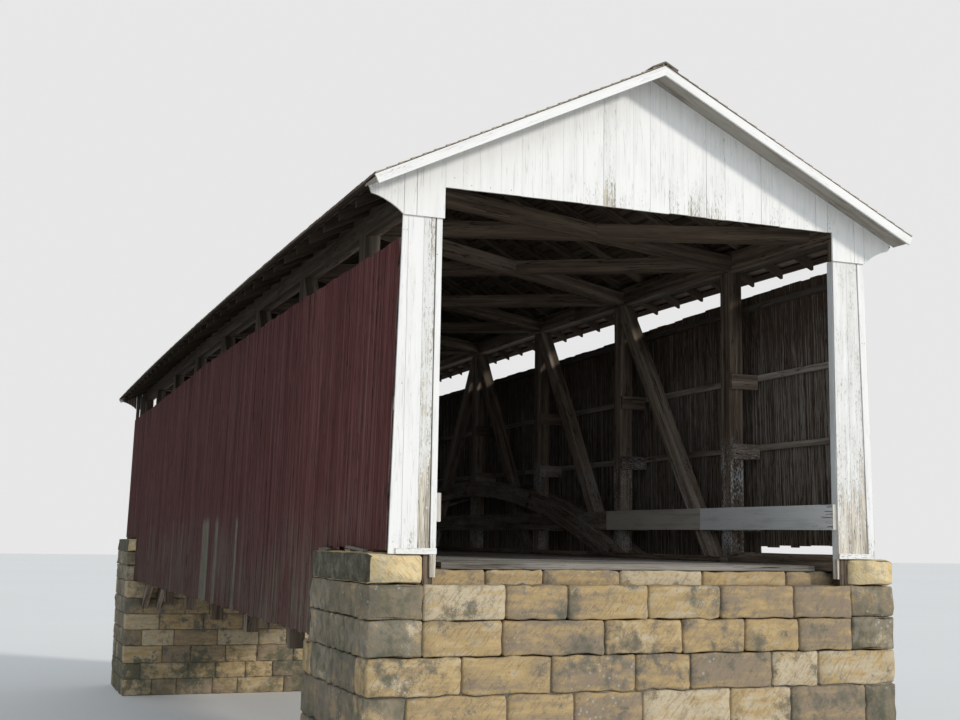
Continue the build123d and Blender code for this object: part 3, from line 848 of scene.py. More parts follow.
@dataclass(frozen=True)
class Sandstone:
    """Coursed ochre sandstone, tooled aslant, with grey crust, moisture and lichen. Faces marked with less
    paint get more crust and moss, partly real and partly painted shade, and the least marked turn dark
    grey-green as painted shade.
    """

    name: str = "sandstone"
    ochre: Colour = (0.430, 0.310, 0.150)
    buff: Colour = (0.500, 0.430, 0.310)
    brown: Colour = (0.260, 0.205, 0.145)
    crust: Colour = (0.135, 0.130, 0.112)
    moss: Colour = (0.075, 0.085, 0.055)
    lichen: Colour = (0.440, 0.450, 0.400)
    # Colours of the painted shade on faces with the least paint mark.
    shaded_grime: tuple[Colour, ...] = ((0.026, 0.030, 0.021), (0.058, 0.060, 0.047), (0.150, 0.150, 0.112))
    age: float = 1.0
    film_z: Size = (1.6, 0.0)

    def material(self) -> Material:
        """Builds the finish."""
        g = Graph(self.name)
        z = g.axes()[2]
        along, over = g.grain
        tone = g.mark("tone")
        # How much moisture and painted shade a face gets: one less its paint mark.
        damp_and_shade = 1.0 - g.mark("paint")
        cloud, blots, grit = g.noise(1.6, 5.0, 0.6), g.noise(7.0, 5.0, 0.65), g.noise(85.0, 3.0, 0.7)
        bed = g.fibres(2.0, 14.0, tone * 40.0, 4.0)
        shade = tone * 0.75 + (bed - 0.5) * 0.6 + (blots - 0.5) * 0.5 + 0.12
        layers = (self.brown, self.ochre, self.buff, self.ochre, self.brown)
        stained = (blots + (grit - 0.5) * 0.5).ease(0.46, 0.66)
        # More crust and moss where the paint mark is low: partly moisture, partly painted shade.
        crust = (cloud * 0.6 + blots * 0.4 + damp_and_shade * 0.20 + (grit - 0.5) * 0.25).ease(0.50, 0.60)
        green = (cloud * 0.5 + blots * 0.5 + z.ease(*self.film_z) * 0.14 + damp_and_shade * 0.10).ease(0.54, 0.66)
        dots = g.cells(13.0).ease(0.24, 0.15) * g.noise(1.1, 2.0).ease(0.52, 0.60)
        cuts = g.fibres((along + over) * 42.0, (along - over) * 5.0, tone * 20.0).ease(0.44, 0.34)
        pits = (blots * 0.4 + grit * 0.6).ease(0.42, 0.34)
        mottle = blots * 0.7 + cloud * 0.3 + (grit - 0.5) * 0.4
        colour = g.coats(
            g.ramp(shade, *zip((0.18, 0.36, 0.52, 0.68, 0.86), layers)),
            (stained * 0.35, self.brown),
            (crust * 0.72 * self.age, self.crust),
            (green * 0.6 * self.age, self.moss),
            (dots * 0.5, self.lichen),
            (cuts * 0.45, self.brown),
            (pits * 0.5, self.crust),
            # Painted shade: faces with the least paint mark turn dark grey-green.
            (damp_and_shade.ease(0.65, 0.95) * 0.92, g.ramp(mottle, *zip((0.40, 0.50, 0.62), self.shaded_grime))),
        )
        relief = cloud * 0.5 + blots * 0.6 + (1.0 - cuts) * 0.20 + grit * 0.22 + (1.0 - pits) * 0.12
        return g.finish(colour, 0.92, relief, 0.016, 0.12)


@dataclass(frozen=True)
class Mortar:
    """Grey-buff lime mortar and the rubble behind the face stones."""

    name: str = "mortar"
    dark: Colour = (0.12, 0.11, 0.09)
    pale: Colour = (0.30, 0.27, 0.22)

    def material(self) -> Material:
        """Builds the finish."""
        g = Graph(self.name)
        grit, cloud = g.noise(60.0), g.noise(3.0)
        colour = g.ramp(grit * 0.5 + cloud * 0.5, (0.35, self.dark), (0.65, self.pale))
        return g.finish(colour, 0.95, grit, 0.006, 0.1)


@dataclass(frozen=True)
class Shingles:
    """Split wooden shingles, brown where new and grey where old, with darker butts and pale split sides,
    partly a painted highlight along the lit gable edges.
    """

    name: str = "shingle_roof"
    dark: Colour = (0.034, 0.027, 0.022)
    brown: Colour = (0.135, 0.102, 0.076)
    grey: Colour = (0.265, 0.240, 0.205)
    split: Colour = (0.420, 0.360, 0.290)
    moss: Colour = (0.075, 0.085, 0.045)

    def material(self) -> Material:
        """Builds the finish."""
        g = Graph(self.name)
        wood = WoodFields.on(g)
        cloud = g.noise(0.5)
        shade = wood.streak * 0.5 + wood.fine * 0.3 + wood.tone * 0.3 + (cloud - 0.5) * 0.35 - 0.06
        colour = g.coats(
            g.ramp(shade, (0.28, self.dark), (0.50, self.brown), (0.78, self.grey)),
            (g.mark("end") * 0.25, self.dark),
            # Pale split colour on the sides marked unpainted: partly split wood, partly a painted highlight
            # on the gable edges.
            ((1.0 - g.mark("paint")) * 0.8, self.split),
            ((cloud + (g.noise(7.0) - 0.5) * 0.5).ease(0.60, 0.72) * 0.35, self.moss),
        )
        return g.finish(colour, 0.85, wood.relief, 0.003, 0.2)


@dataclass(frozen=True)
class Iron:
    """Rusted bolts, washers and nail heads."""

    name: str = "rusted_iron"
    dark: Colour = (0.035, 0.022, 0.016)
    rust: Colour = (0.155, 0.070, 0.035)

    def material(self) -> Material:
        """Builds the finish."""
        g = Graph(self.name)
        scale = g.noise(120.0, 4.0)
        colour = g.ramp(scale, (0.35, self.dark), (0.65, self.rust))
        return g.finish(colour, 0.75, scale, 0.0015, 0.4, metallic=0.25)


def build_finishes() -> dict[str, Material]:
    """Builds every material once, under the short name that the sub-assemblies use."""
    recipes = {
        "timber": BareTimber("old_timber"),
        "limed": BareTimber("limed_timber", lime=0.75),
        "dusty": BareTimber("dusty_timber", lime=0.28),
        "nailers": BareTimber("nailer_timber", (0.12, 0.10, 0.08), (0.28, 0.24, 0.20), (0.44, 0.40, 0.35)),
        "underside": BareTimber("roof_timber", middle=(0.135, 0.100, 0.073), pale=(0.25, 0.20, 0.155)),
        "planks": BareTimber(
            "deck_planks",
            dark=(0.075, 0.066, 0.056),
            middle=(0.200, 0.183, 0.160),
            pale=(0.350, 0.330, 0.300),
            lanes=0.45,
        ),
        "barn": BarnPaint(),
        "white": WhitePaint(),
        # A dirtier, bluish-grey copy of the white paint for the rails and the jambs: partly real soil, partly
        # painted shade.
        "rail": WhitePaint("rail_paint", 0.67, 0.4, (0.68, 0.70, 0.70), (0.44, 0.44, 0.42)),
        "soiled": WhitePaint(
            "soiled_paint",
            flake=0.65,
            soil=0.8,
            clean=(0.46, 0.43, 0.37),
            stained=(0.29, 0.27, 0.23),
            wood=(0.26, 0.23, 0.19),
            dark_wood=(0.14, 0.12, 0.10),
        ),
        "soffit": WhitePaint(
            "soffit_paint",
            flake=0.63,
            soil=1.0,
            clean=(0.34, 0.32, 0.275),
            stained=(0.18, 0.165, 0.135),
            wood=(0.22, 0.19, 0.15),
            dark_wood=(0.12, 0.10, 0.08),
        ),
        "stone": Sandstone(),
        # A brighter, cleaner copy of the sandstone for the coping stones: partly their own colour, partly a
        # painted highlight for the sun on their fronts.
        "coping": Sandstone(
            "coping_stone",
            ochre=(0.66, 0.50, 0.25),
            buff=(0.68, 0.58, 0.38),
            brown=(0.40, 0.30, 0.17),
            age=0.45,
        ),
        "mortar": Mortar(),
        "shingle": Shingles(),
        "iron": Iron(),
    }
    return {short: recipe.material() for short, recipe in recipes.items()}


@dataclass
class SubAssembly:
    """A group of pieces with the plan and the finishes it is built from.

    Args:
        plan: The bridge's sizes.
        finishes: Every material by its short name.
    """

    plan: Plan
    finishes: dict[str, Material]

    def show(
        self,
        where: Spot | None,
        name: str,
        node: str | None,
        stock: Stock,
        *finishes: str,
        smooth: bool = False,
    ) -> None:
        """Makes a piece from stock, in place of the construction's node.

        Args:
            where: Side or end whose name stands before those of the piece and the node, or None.
            name: Name of the piece.
            node: The node that it stands for, or None.
            stock: What it is made of.
            finishes: Short names of its materials, in the order of the stock's slots.
            smooth: Whether it is shaded as one surface.
        """
        if where:
            name, node = where.node(name), where.node(node)
        nodes = [node] if node else []
        piece = stock.piece(name, [self.finishes[short] for short in finishes], smooth)
        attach(piece, "root")
        if nodes:
            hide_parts(*nodes)


@dataclass
class SideWall(SubAssembly):
    """Upright red boards on nailers that blocks hold off the posts."""

    board_widths: Size = (0.17, 0.28)
    rows: int = 7
    gap: float = 0.006
    bow: float = 0.003
    wing_lap: float = 0.02
    wing_gap: BySide = BySide(left=0.035, right=0.128)
    ragged: BySide = BySide(left=0.010, right=0.007)
    pale: tuple[Size, ...] = ((0.54, 1.26), (1.86, 2.16), (3.70, 3.90), (-1.9, -1.68), (-3.2, -3.0))
    pale_tones: tuple[Size, ...] = ((1.3, 1.5), (1.3, 1.5), (1.3, 1.5), (1.0, 1.15), (1.0, 1.15))
    tops: BySide = BySide(
        left=((-11.8, 3.24), (-6.0, 3.31), (0.0, 3.35), (7.0, 3.22), (11.8, 3.19)),
        right=((-11.8, 3.51), (-9.0, 3.50), (-6.7, 3.445), (-4.5, 3.39), (0.0, 3.36), (11.8, 3.33)),
    )
    nailer_rises: Size = (3.28, 2.35, 1.42, 0.48, -0.46)
    nailer_size: Size = (0.05, 0.08)
    nailer_lengths: Size = (3.6, 5.2)
    nailer_inset: float = 0.11
    top_row: float = 3.0
    climb: float = 0.4
    climb_from: float = 3.38
    head_nailer_drop: float = 0.09
    block: Size = (0.05, 0.20)
    block_lift: float = 0.04
    turn_y: float = 1.5
    shim: Size = (0.026, 0.044)
    shim_ends: tuple[tuple[Size, Size], ...] = (
        ((-3.005, -10.50, 0.042), (-2.995, -11.17, 0.006)),
        ((-3.015, -9.36, 0.004), (-3.0, -9.72, 0.010)),
    )

    def boards(self, side: Side) -> None:
        """Boards of uneven width, with a ragged head and foot, cut up over the wing walls."""
        plan, s = self.plan, side.value
        stock = Stock(11 + s)
        end = plan.half - plan.board
        edges = strips(stock.rng, -end, end, *self.board_widths)
        for mark in s * np.ravel(self.pale):
            edges[np.abs(edges - mark).argmin()] = mark
        count, y = len(edges) - 1, middles(edges)
        width = np.diff(edges) - stock.rng.uniform(0.5, 1.8, count) * self.gap
        on_wing = np.abs(y) > plan.wing_end - self.wing_lap
        low = np.where(on_wing, plan.foot + self.wing_gap[side], plan.foot - plan.wall_foot_drop)
        low = low + stock.rng.uniform(-0.018, 0.022, count)
        ragged = self.ragged[side]
        high = self.head(side, y) + stock.rng.uniform(-1.3 * ragged, 0.8 * ragged, count)
        z = low[:, None] + (high - low)[:, None] * np.linspace(0.0, 1.0, self.rows)
        bow = ripple(place(z, y[:, None] * 9.0, 0.0), 3.0, 5) * self.bow
        x = plan.wall_x(z) - plan.wall_thick / 2 + bow
        coat = (1.0, 1.0, 0.5, 0.0, 0.0, 0.0, 0.5, 1.0)
        tone = stock.rng.uniform(0.0, 1.0, count)
        for (first, last), tones in zip(self.pale, self.pale_tones):
            is_pale = (s * y > first) & (s * y < last)
            tone[is_pale] = stock.rng.uniform(*tones, is_pale.sum())
        section = sawn(width, plan.wall_thick, 0.0025)
        stock.bars(place(s * x, y[:, None], z), s * Y_AXIS, section, tone=tone, paint=coat)
        self.nail(stock, s, y, width, low, high)
        self.show(side, "siding_boards", "siding", stock, "barn", "iron")

    def head(self, side: Side, y: Array) -> Array:
        """Height of the boards' heads along the road, straight between measured points."""
        at, rise = np.array(self.tops[side]).T
        return self.plan.foot + np.interp(y, at, rise)

    def nail(self, stock: Stock, s: int, y: Array, width: Array, low: Array, high: Array) -> None:
        """Two nail heads in each board at each nailer.

        Args:
            stock: Where the nails go.
            s: Sign of the side.
            y: Centres of the boards.
            width: Their widths.
            low: Their feet.
            high: Their heads.
        """
        for rise in self.nailer_rises:
            z = self.plan.foot + rise
            held = (low < z - 0.03) & (high > z + 0.03)
            for shift in NAILED:
                level = z + stock.rng.uniform(-0.02, 0.02, held.sum())
                heads = place(s * (self.plan.wall_x(level) + 0.0005), y[held] + width[held] * shift, level)
                stock.fixings(heads, (s, 0, self.plan.batter), 0.005, 0.0025)

    def nailers(self, side: Side) -> None:
        """Five rows of nailers in butted lengths, leaning with the wall."""
        plan, s = self.plan, side.value
        stock = Stock(31 + s)
        thick, height = self.nailer_size
        for rise in self.nailer_rises:
            z = plan.foot + rise
            whole = plan.half - plan.board - self.nailer_inset
            reach = whole if rise > 0 else plan.wing_end - self.wing_lap
            ends = strips(stock.rng, -reach, reach, *self.nailer_lengths)
            x = s * (plan.wall_x(z) - plan.wall_thick - thick / 2)
            pair = (ends[:-1] + 0.002, ends[1:] - 0.002)
            start, stop = (place(x, y, self.nailer_level(side, y, z)) for y in pair)
            stock.bars(between(start, stop, 6), Z_AXIS, sawn(height, thick), rough=0.0015, wave=0.8)
        self.show(side, "nailer_rows", "nailers", stock, "nailers")

    def nailer_level(self, side: Side, y: Array, z: float) -> Array:
        """Level of a nailer: the top row climbs with the boards' heads and keeps below them."""
        head = self.head(side, y)
        if z > self.plan.foot + self.top_row:
            z = z + self.climb * np.maximum(head - self.plan.foot - self.climb_from, 0.0)
        return np.minimum(z, head - self.head_nailer_drop)

    def blocks(self) -> None:
        """Short blocks on the posts under the nailers."""
        plan = self.plan
        stock = Stock(41)
        thick, height = self.block
        for side in Side:
            for y in plan.posts:
                middle = y + (-1 if y < self.turn_y else 1) * (plan.post_depth / 2 + thick / 2)
                for rise in self.nailer_rises[1:4]:
                    z = plan.foot + rise + self.block_lift - height / 2
                    stop = plan.wall_x(z + height / 2) - plan.wall_thick - self.nailer_size[0] - 0.001
                    start = (side.value * (plan.inner + 0.002), middle, z)
                    line = between(start, (side.value * stop, middle, z), 3)
                    stock.bars(line, Y_AXIS, sawn(thick, height, 0.005), rough=0.002, wave=0.4)
        self.show(None, "outrigger_blocks_sawn", "outrigger_blocks", stock, "limed")

    def shims(self) -> None:
        """Two loose sticks that lie on the near left coping beside the boards."""
        stock = Stock(45)
        lift = Z_AXIS * (self.plan.foot + 0.012)
        for start, stop in self.shim_ends:
            line = between(start + lift, stop + lift, 6)
            stock.bars(line, Z_AXIS, sawn(*self.shim, 0.003), rough=0.002, wave=0.2)
        self.show(None, "loose_shims", None, stock, "planks")

    def build(self) -> None:
        """Both walls."""
        for side in Side:
            self.boards(side)
            self.nailers(side)
        self.blocks()
        self.shims()


@dataclass
class Truss(SubAssembly):
    """Posts, braces, chords and the doubled arch of each side."""

    tail_drop: float = 1.38
    brace_depth: float = 0.20
    brace_aim: float = 0.07
    brace_lean: float = 0.02
    brace_lift: float = 0.03
    brace_drop: float = 0.02
    plate_height: float = 0.27
    plate_joints: Size = (-4.7, 3.2)
    stick: Size = (0.10, 0.30)
    sticks_x: Size = (2.45, 2.63)
    stick_end: float = 10.51
    stick_joints: tuple[Size, ...] = ((-5.1, 1.2, 6.9), (-2.0, 4.3))
    arch_radius: float = 17.5
    arch_size: Size = (0.13, 0.30)
    arch_crown: float = 1.28
    arch_seat: float = 9.40
    stick_bolts: Size = (0.06, 0.08)
    leaf_bolts: Size = (0.055, 0.07)
    washer: Size = (0.0, 0.055, 0.008, 4)
    nut: Size = (0.008, 0.026, 0.018, 6)
    bolt_end: Size = (0.02, 0.011, 0.022, 8)

    def posts(self, side: Side) -> None:
        """Seven posts, the five in the span with tails below the floor."""
        plan, s = self.plan, side.value
        stock = Stock(51 + s)
        inside = np.abs(plan.posts) < plan.posts[-1] - 0.1
        low = np.where(inside, plan.foot - self.tail_drop, plan.seat)
        high = plan.plate + plan.camber(plan.posts) - 0.0005
        lines = between((s * plan.truss_x, plan.posts, low), (s * plan.truss_x, plan.posts, high), 14)
        section = sawn(plan.outer - plan.inner, plan.post_depth, 0.008)
        stock.bars(lines, X_AXIS, section, rough=0.003, wave=0.7)
        self.show(side, "kingposts", "posts", stock, "limed")

    def braces(self, side: Side) -> None:
        """Braces from the foot of each post to the head of the next one inward, housed in both."""
        plan, s = self.plan, side.value
        stock = Stock(61 + s)
        x = s * plan.truss_x
        foot = plan.seat + self.stick[1] + self.brace_lift
        section = sawn(plan.outer - plan.inner - 0.006, self.brace_depth, 0.008)
        for end in End:
            low = plan.posts[:3] if end is End.NEAR else plan.posts[:3:-1]
            high = low - end.value * (plan.posts[1] - plan.posts[0])
            start = place(x, low - end.value * self.brace_lean, foot)
            aim = place(x, high, plan.plate + self.brace_aim + plan.camber(high) - self.brace_drop)
            stop = start + (aim - start) * (1.0 - self.brace_aim / (aim - start)[:, 2:])
            stock.bars(between(start, stop, 14), X_AXIS, section, rough=0.003, wave=0.7)
        self.show(side, "brace_timbers", "braces", stock, "dusty")

    def lower_chord(self, side: Side) -> None:
        """Two sticks in staggered lengths that clasp the posts."""
        plan, s = self.plan, side.value
        stock = Stock(71 + s)
        width, height = self.stick
        for x, joints in zip(self.sticks_x, self.stick_joints):
            ends = np.array([-self.stick_end, *joints, self.stick_end])
            line = butted(s * x, ends, plan.seat + height / 2, 12)
            stock.bars(line, Z_AXIS, sawn(height, width, 0.006), rough=0.002, wave=0.9)
        centres = [(y, plan.seat + height / 2) for y in plan.posts]
        faces = (self.sticks_x[0] - width / 2, self.sticks_x[1] + width / 2)
        self.bolts(stock, s, centres, self.stick_bolts, faces)
        self.show(side, "chord_sticks", "lower_chord", stock, "timber", "iron")

    def bolts(self, stock: Stock, s: int, centres: list[Size], shift: Size, faces: Size) -> None:
        """Two bolts at each place: a square washer, a nut and a bolt's end on both faces of the timbers.

        Args:
            stock: Where the fixings go.
            s: Sign of the side.
            centres: Y and Z of the places.
            shift: How far the bolts stand from them, along the road and in height.
            faces: Distances of the road-side face and the outer face from the middle.
        """
        spots = np.array([(y + w * shift[0], z - w * shift[1]) for y, z in centres for w in (-1, 1)])
        for x, way in zip(faces, (-1, 1)):
            outward = s * way * X_AXIS
            for lift, radius, proud, sides in (self.washer, self.nut, self.bolt_end):
                stock.fixings(place(s * x, *spots.T) + outward * lift, outward, radius, proud, sides)

    def upper_chord(self, side: Side) -> None:
        """The plate, in three cambered lengths."""
        plan, s = self.plan, side.value
        stock = Stock(81 + s)
        end = plan.half - plan.board
        ends = np.array([-end, *self.plate_joints, end])
        y = np.linspace(ends[:-1] + 0.002, ends[1:] - 0.002, 9, axis=1)
        lines = place(s * plan.truss_x, y, plan.plate + plan.camber(y) + self.plate_height / 2)
        section = sawn(plan.outer - plan.inner, self.plate_height, 0.006)
        stock.bars(lines, X_AXIS, section, rough=0.002, wave=0.9)
        self.show(side, "plate_timber", "upper_chord", stock, "timber")

    def arch(self, side: Side) -> None:
        """Two leaves on one circle, in lengths that butt at the posts, bolted through them."""
        plan, s = self.plan, side.value
        stock = Stock(91 + s)
        thick, depth = self.arch_size
        radius = self.arch_radius - depth / 2
        centre = plan.foot + self.arch_crown - self.arch_radius
        inside = plan.posts[1:-1]
        marks = np.arcsin(np.array([-self.arch_seat, *inside, self.arch_seat]) / self.arch_radius)
        turn = np.linspace(marks[:-1] + 0.0001, marks[1:] - 0.0001, 9, axis=1)
        for x in (plan.inner - thick / 2, plan.outer + thick / 2):
            lines = place(s * x, radius * np.sin(turn), centre + radius * np.cos(turn))
            stock.bars(lines, X_AXIS, sawn(thick, depth, 0.007), rough=0.002, wave=0.8)
        centres = [(y, centre + math.sqrt(radius**2 - y**2)) for y in inside]
        self.bolts(stock, s, centres, self.leaf_bolts, (plan.inner - thick, plan.outer + thick))
        self.show(side, "arch_leaves", "arch", stock, "dusty", "iron")

    def build(self) -> None:
        """Both trusses."""
        for side in Side:
            for make in (self.posts, self.braces, self.lower_chord, self.upper_chord, self.arch):
                make(side)


@dataclass
class Roof(SubAssembly):
    """Rafters, laths, shingles, ridge boards and the crossed braces overhead."""

    shingle: float = 0.025
    felt: float = 0.004
    exposure: float = 0.14
    # Paint marks round a shingle: its sides, marked 0, take the pale split colour, partly a painted
    # highlight.
    side_highlight_coat: Size = (1.0, 0.0, 1.0, 0.0)
    lap: float = 0.05
    widths: Size = (0.09, 0.24)
    gaps: Size = (0.002, 0.006)
    ragged: float = 0.012
    butt_thick: Size = (0.010, 0.0135)
    head_thick: float = 0.004
    starter_lift: float = 0.006
    ridge_board: Size = (0.16, 0.02)
    ridge_lengths: Size = (2.6, 3.9)
    lath: Size = (0.10, 0.025)
    lath_spacing: float = 0.21
    lath_setback: float = 0.04
    lath_end: float = 0.025
    lath_lengths: Size = (3.0, 5.0)
    rafter: Size = (0.06, 0.11)
    rafter_pairs: int = 35
    tail_x: float = 3.18
    tie: float = 0.18
    tie_rise: float = 3.86
    tie_start: float = 0.44

    def on_slope(self, s: int, x: Array, y: Array, below: float) -> Array:
        """Points on the roof of one side, a thickness below its top."""
        return place(s * x, y, self.plan.roof(x, y, below))

    def down(self, s: int) -> Array:
        """Direction down the roof of one side."""
        return np.array([s, 0.0, -self.plan.slope])

    def shingles(self, side: Side) -> None:
        """Courses of tapered shingles on a thin underlay, from the eave to the ridge."""
        plan, s = self.plan, side.value
        stock = Stock(101 + s)
        y = np.linspace(-plan.gable_end, plan.gable_end, 25)
        run = plan.eave * plan.per_run
        line = self.on_slope(s, plan.eave / 2, y, self.shingle - self.felt / 2)[None]
        stock.bars(line, self.down(s), sawn(run, self.felt, 0.001), tone=0.6)
        for i in range(int(run / self.exposure) + 1):
            self.course(stock, s, run - i * self.exposure, i == 0)
        self.show(side, "shingle_courses", "shingles", stock, "shingle")

    def course(self, stock: Stock, s: int, down_to: float, starter: bool) -> None:
        """One course: each shingle a wedge, thick at its butt and thin at its head.

        Args:
            stock: Where the shingles go.
            s: Sign of the side.
            down_to: Distance from the ridge to the butts, along the slope.
            starter: Whether it is the lowest course.
        """
        plan = self.plan
        edges = strips(stock.rng, -plan.gable_end, plan.gable_end, *self.widths)
        count, y = len(edges) - 1, middles(edges)
        half = (np.diff(edges) - stock.rng.uniform(*self.gaps, count)) / 2
        butt = down_to - stock.rng.uniform(0.0, self.ragged, count)
        head = np.maximum(down_to - self.exposure - self.lap, 0.01)
        lift = np.full(count, 0.0 if starter else self.starter_lift)
        thick = stock.rng.uniform(*self.butt_thick, count) + (self.starter_lift if starter else 0.0)
        below = self.shingle - self.felt
        start, stop = (self.on_slope(s, at / plan.per_run, y, below) for at in (butt, head))
        low = np.stack([lift, np.zeros(count)], 1)
        high = np.stack([lift + thick, np.full(count, self.head_thick)], 1)
        wide = np.repeat(half[:, None], 2, 1)
        ring = [(-wide, low), (wide, low), (wide, high), (-wide, high)]
        section = np.stack([np.stack(point, axis=-1) for point in ring], axis=2)
        stock.bars(between(start, stop, 2), -s * Y_AXIS, section, paint=self.side_highlight_coat)

    def ridge(self) -> None:
        """Two rows of ridge boards in butted lengths."""
        plan = self.plan
        stock = Stock(111)
        width, thick = self.ridge_board
        for side in Side:
            ends = strips(stock.rng, -plan.gable_end, plan.gable_end, *self.ridge_lengths)
            y = np.linspace(ends[:-1] + 0.001, ends[1:] - 0.001, 5, axis=1)
            lines = self.on_slope(side.value, width / 2, y, -thick / 2)
            stock.bars(lines, self.down(side.value), sawn(width * plan.per_run, thick, 0.002))
        self.show(None, "ridge_boards", "ridge_cap", stock, "shingle")

    def laths(self, side: Side) -> None:
        """Open laths in butted lengths along the slope."""
        plan, s = self.plan, side.value
        stock = Stock(121 + s)
        width, thick = self.lath
        end = plan.gable_end - self.lath_end
        lowest = plan.eave - self.lath_setback - width / plan.per_run / 2
        for x in np.arange(lowest, 0.03, -self.lath_spacing / plan.per_run):
            ends = strips(stock.rng, -end, end, *self.lath_lengths)
            y = np.linspace(ends[:-1] + 0.002, ends[1:] - 0.002, 4, axis=1)
            lines = self.on_slope(s, x, y, self.shingle + thick / 2)
            stock.bars(lines, self.down(s), sawn(width, thick, 0.002))
        self.show(side, "lath_rows", "laths", stock, "underside")

    def rafters(self, side: Side) -> None:
        """Rafters with plumb ends, in pairs that meet at the ridge."""
        plan, s = self.plan, side.value
        stock = Stock(131 + s)
        width, depth = self.rafter
        end = plan.half - plan.board - width / 2
        y = np.linspace(-end, end, self.rafter_pairs)
        below = self.shingle + self.lath[1] + depth / 2
        lines = between(self.on_slope(s, 0.001, y, below), self.on_slope(s, self.tail_x, y, below), 6)
        stock.bars(lines, Y_AXIS, sawn(width, depth, 0.004), cuts=(X_AXIS, X_AXIS), rough=0.0015, wave=0.8)
        self.show(side, "rafter_sticks", "rafters", stock, "underside")

    def crossed_braces(self) -> None:
        """In each bay one brace runs through and the other butts against it from both sides."""
        plan = self.plan
        stock = Stock(141)
        end = plan.half - self.tie_start
        marks = np.array([-end, *plan.posts, end])
        y = middles(marks)
        centre = place(0.0, y, plan.foot + self.tie_rise + plan.camber(y))
        half = np.diff(marks) / 2
        half = half - self.tie / 2 * np.hypot(plan.inner, half) / plan.inner
        section = sawn(self.tie, self.tie, 0.006)
        rise, fall = place(plan.inner, half, 0.0), place(plan.inner, -half, 0.0)
        lines = between(centre - rise, centre + rise, 10)
        stock.bars(lines, Z_AXIS, section, cuts=(X_AXIS, X_AXIS), rough=0.002, wave=0.8)
        crossing = 2 * plan.inner * half / (plan.inner**2 + half**2)
        inset = unit(fall) * ((self.tie / 2 + 0.001) / crossing)[:, None]
        face = unit(np.cross(rise, Z_AXIS))
        for way in (-1, 1):
            lines = between(centre + way * inset, centre + way * fall, 6)
            stock.bars(lines, Z_AXIS, section, cuts=(face, X_AXIS), rough=0.002, wave=0.8)
        self.show(None, "overhead_braces", "top_braces", stock, "underside")

    def build(self) -> None:
        """The whole roof."""
        for side in Side:
            for make in (self.shingles, self.laths, self.rafters):
                make(side)
        self.ridge()
        self.crossed_braces()


@dataclass
class EndAssembly(SubAssembly):
    """A sub-assembly that stands at one end.

    Args:
        end: Which end.
    """

    end: End


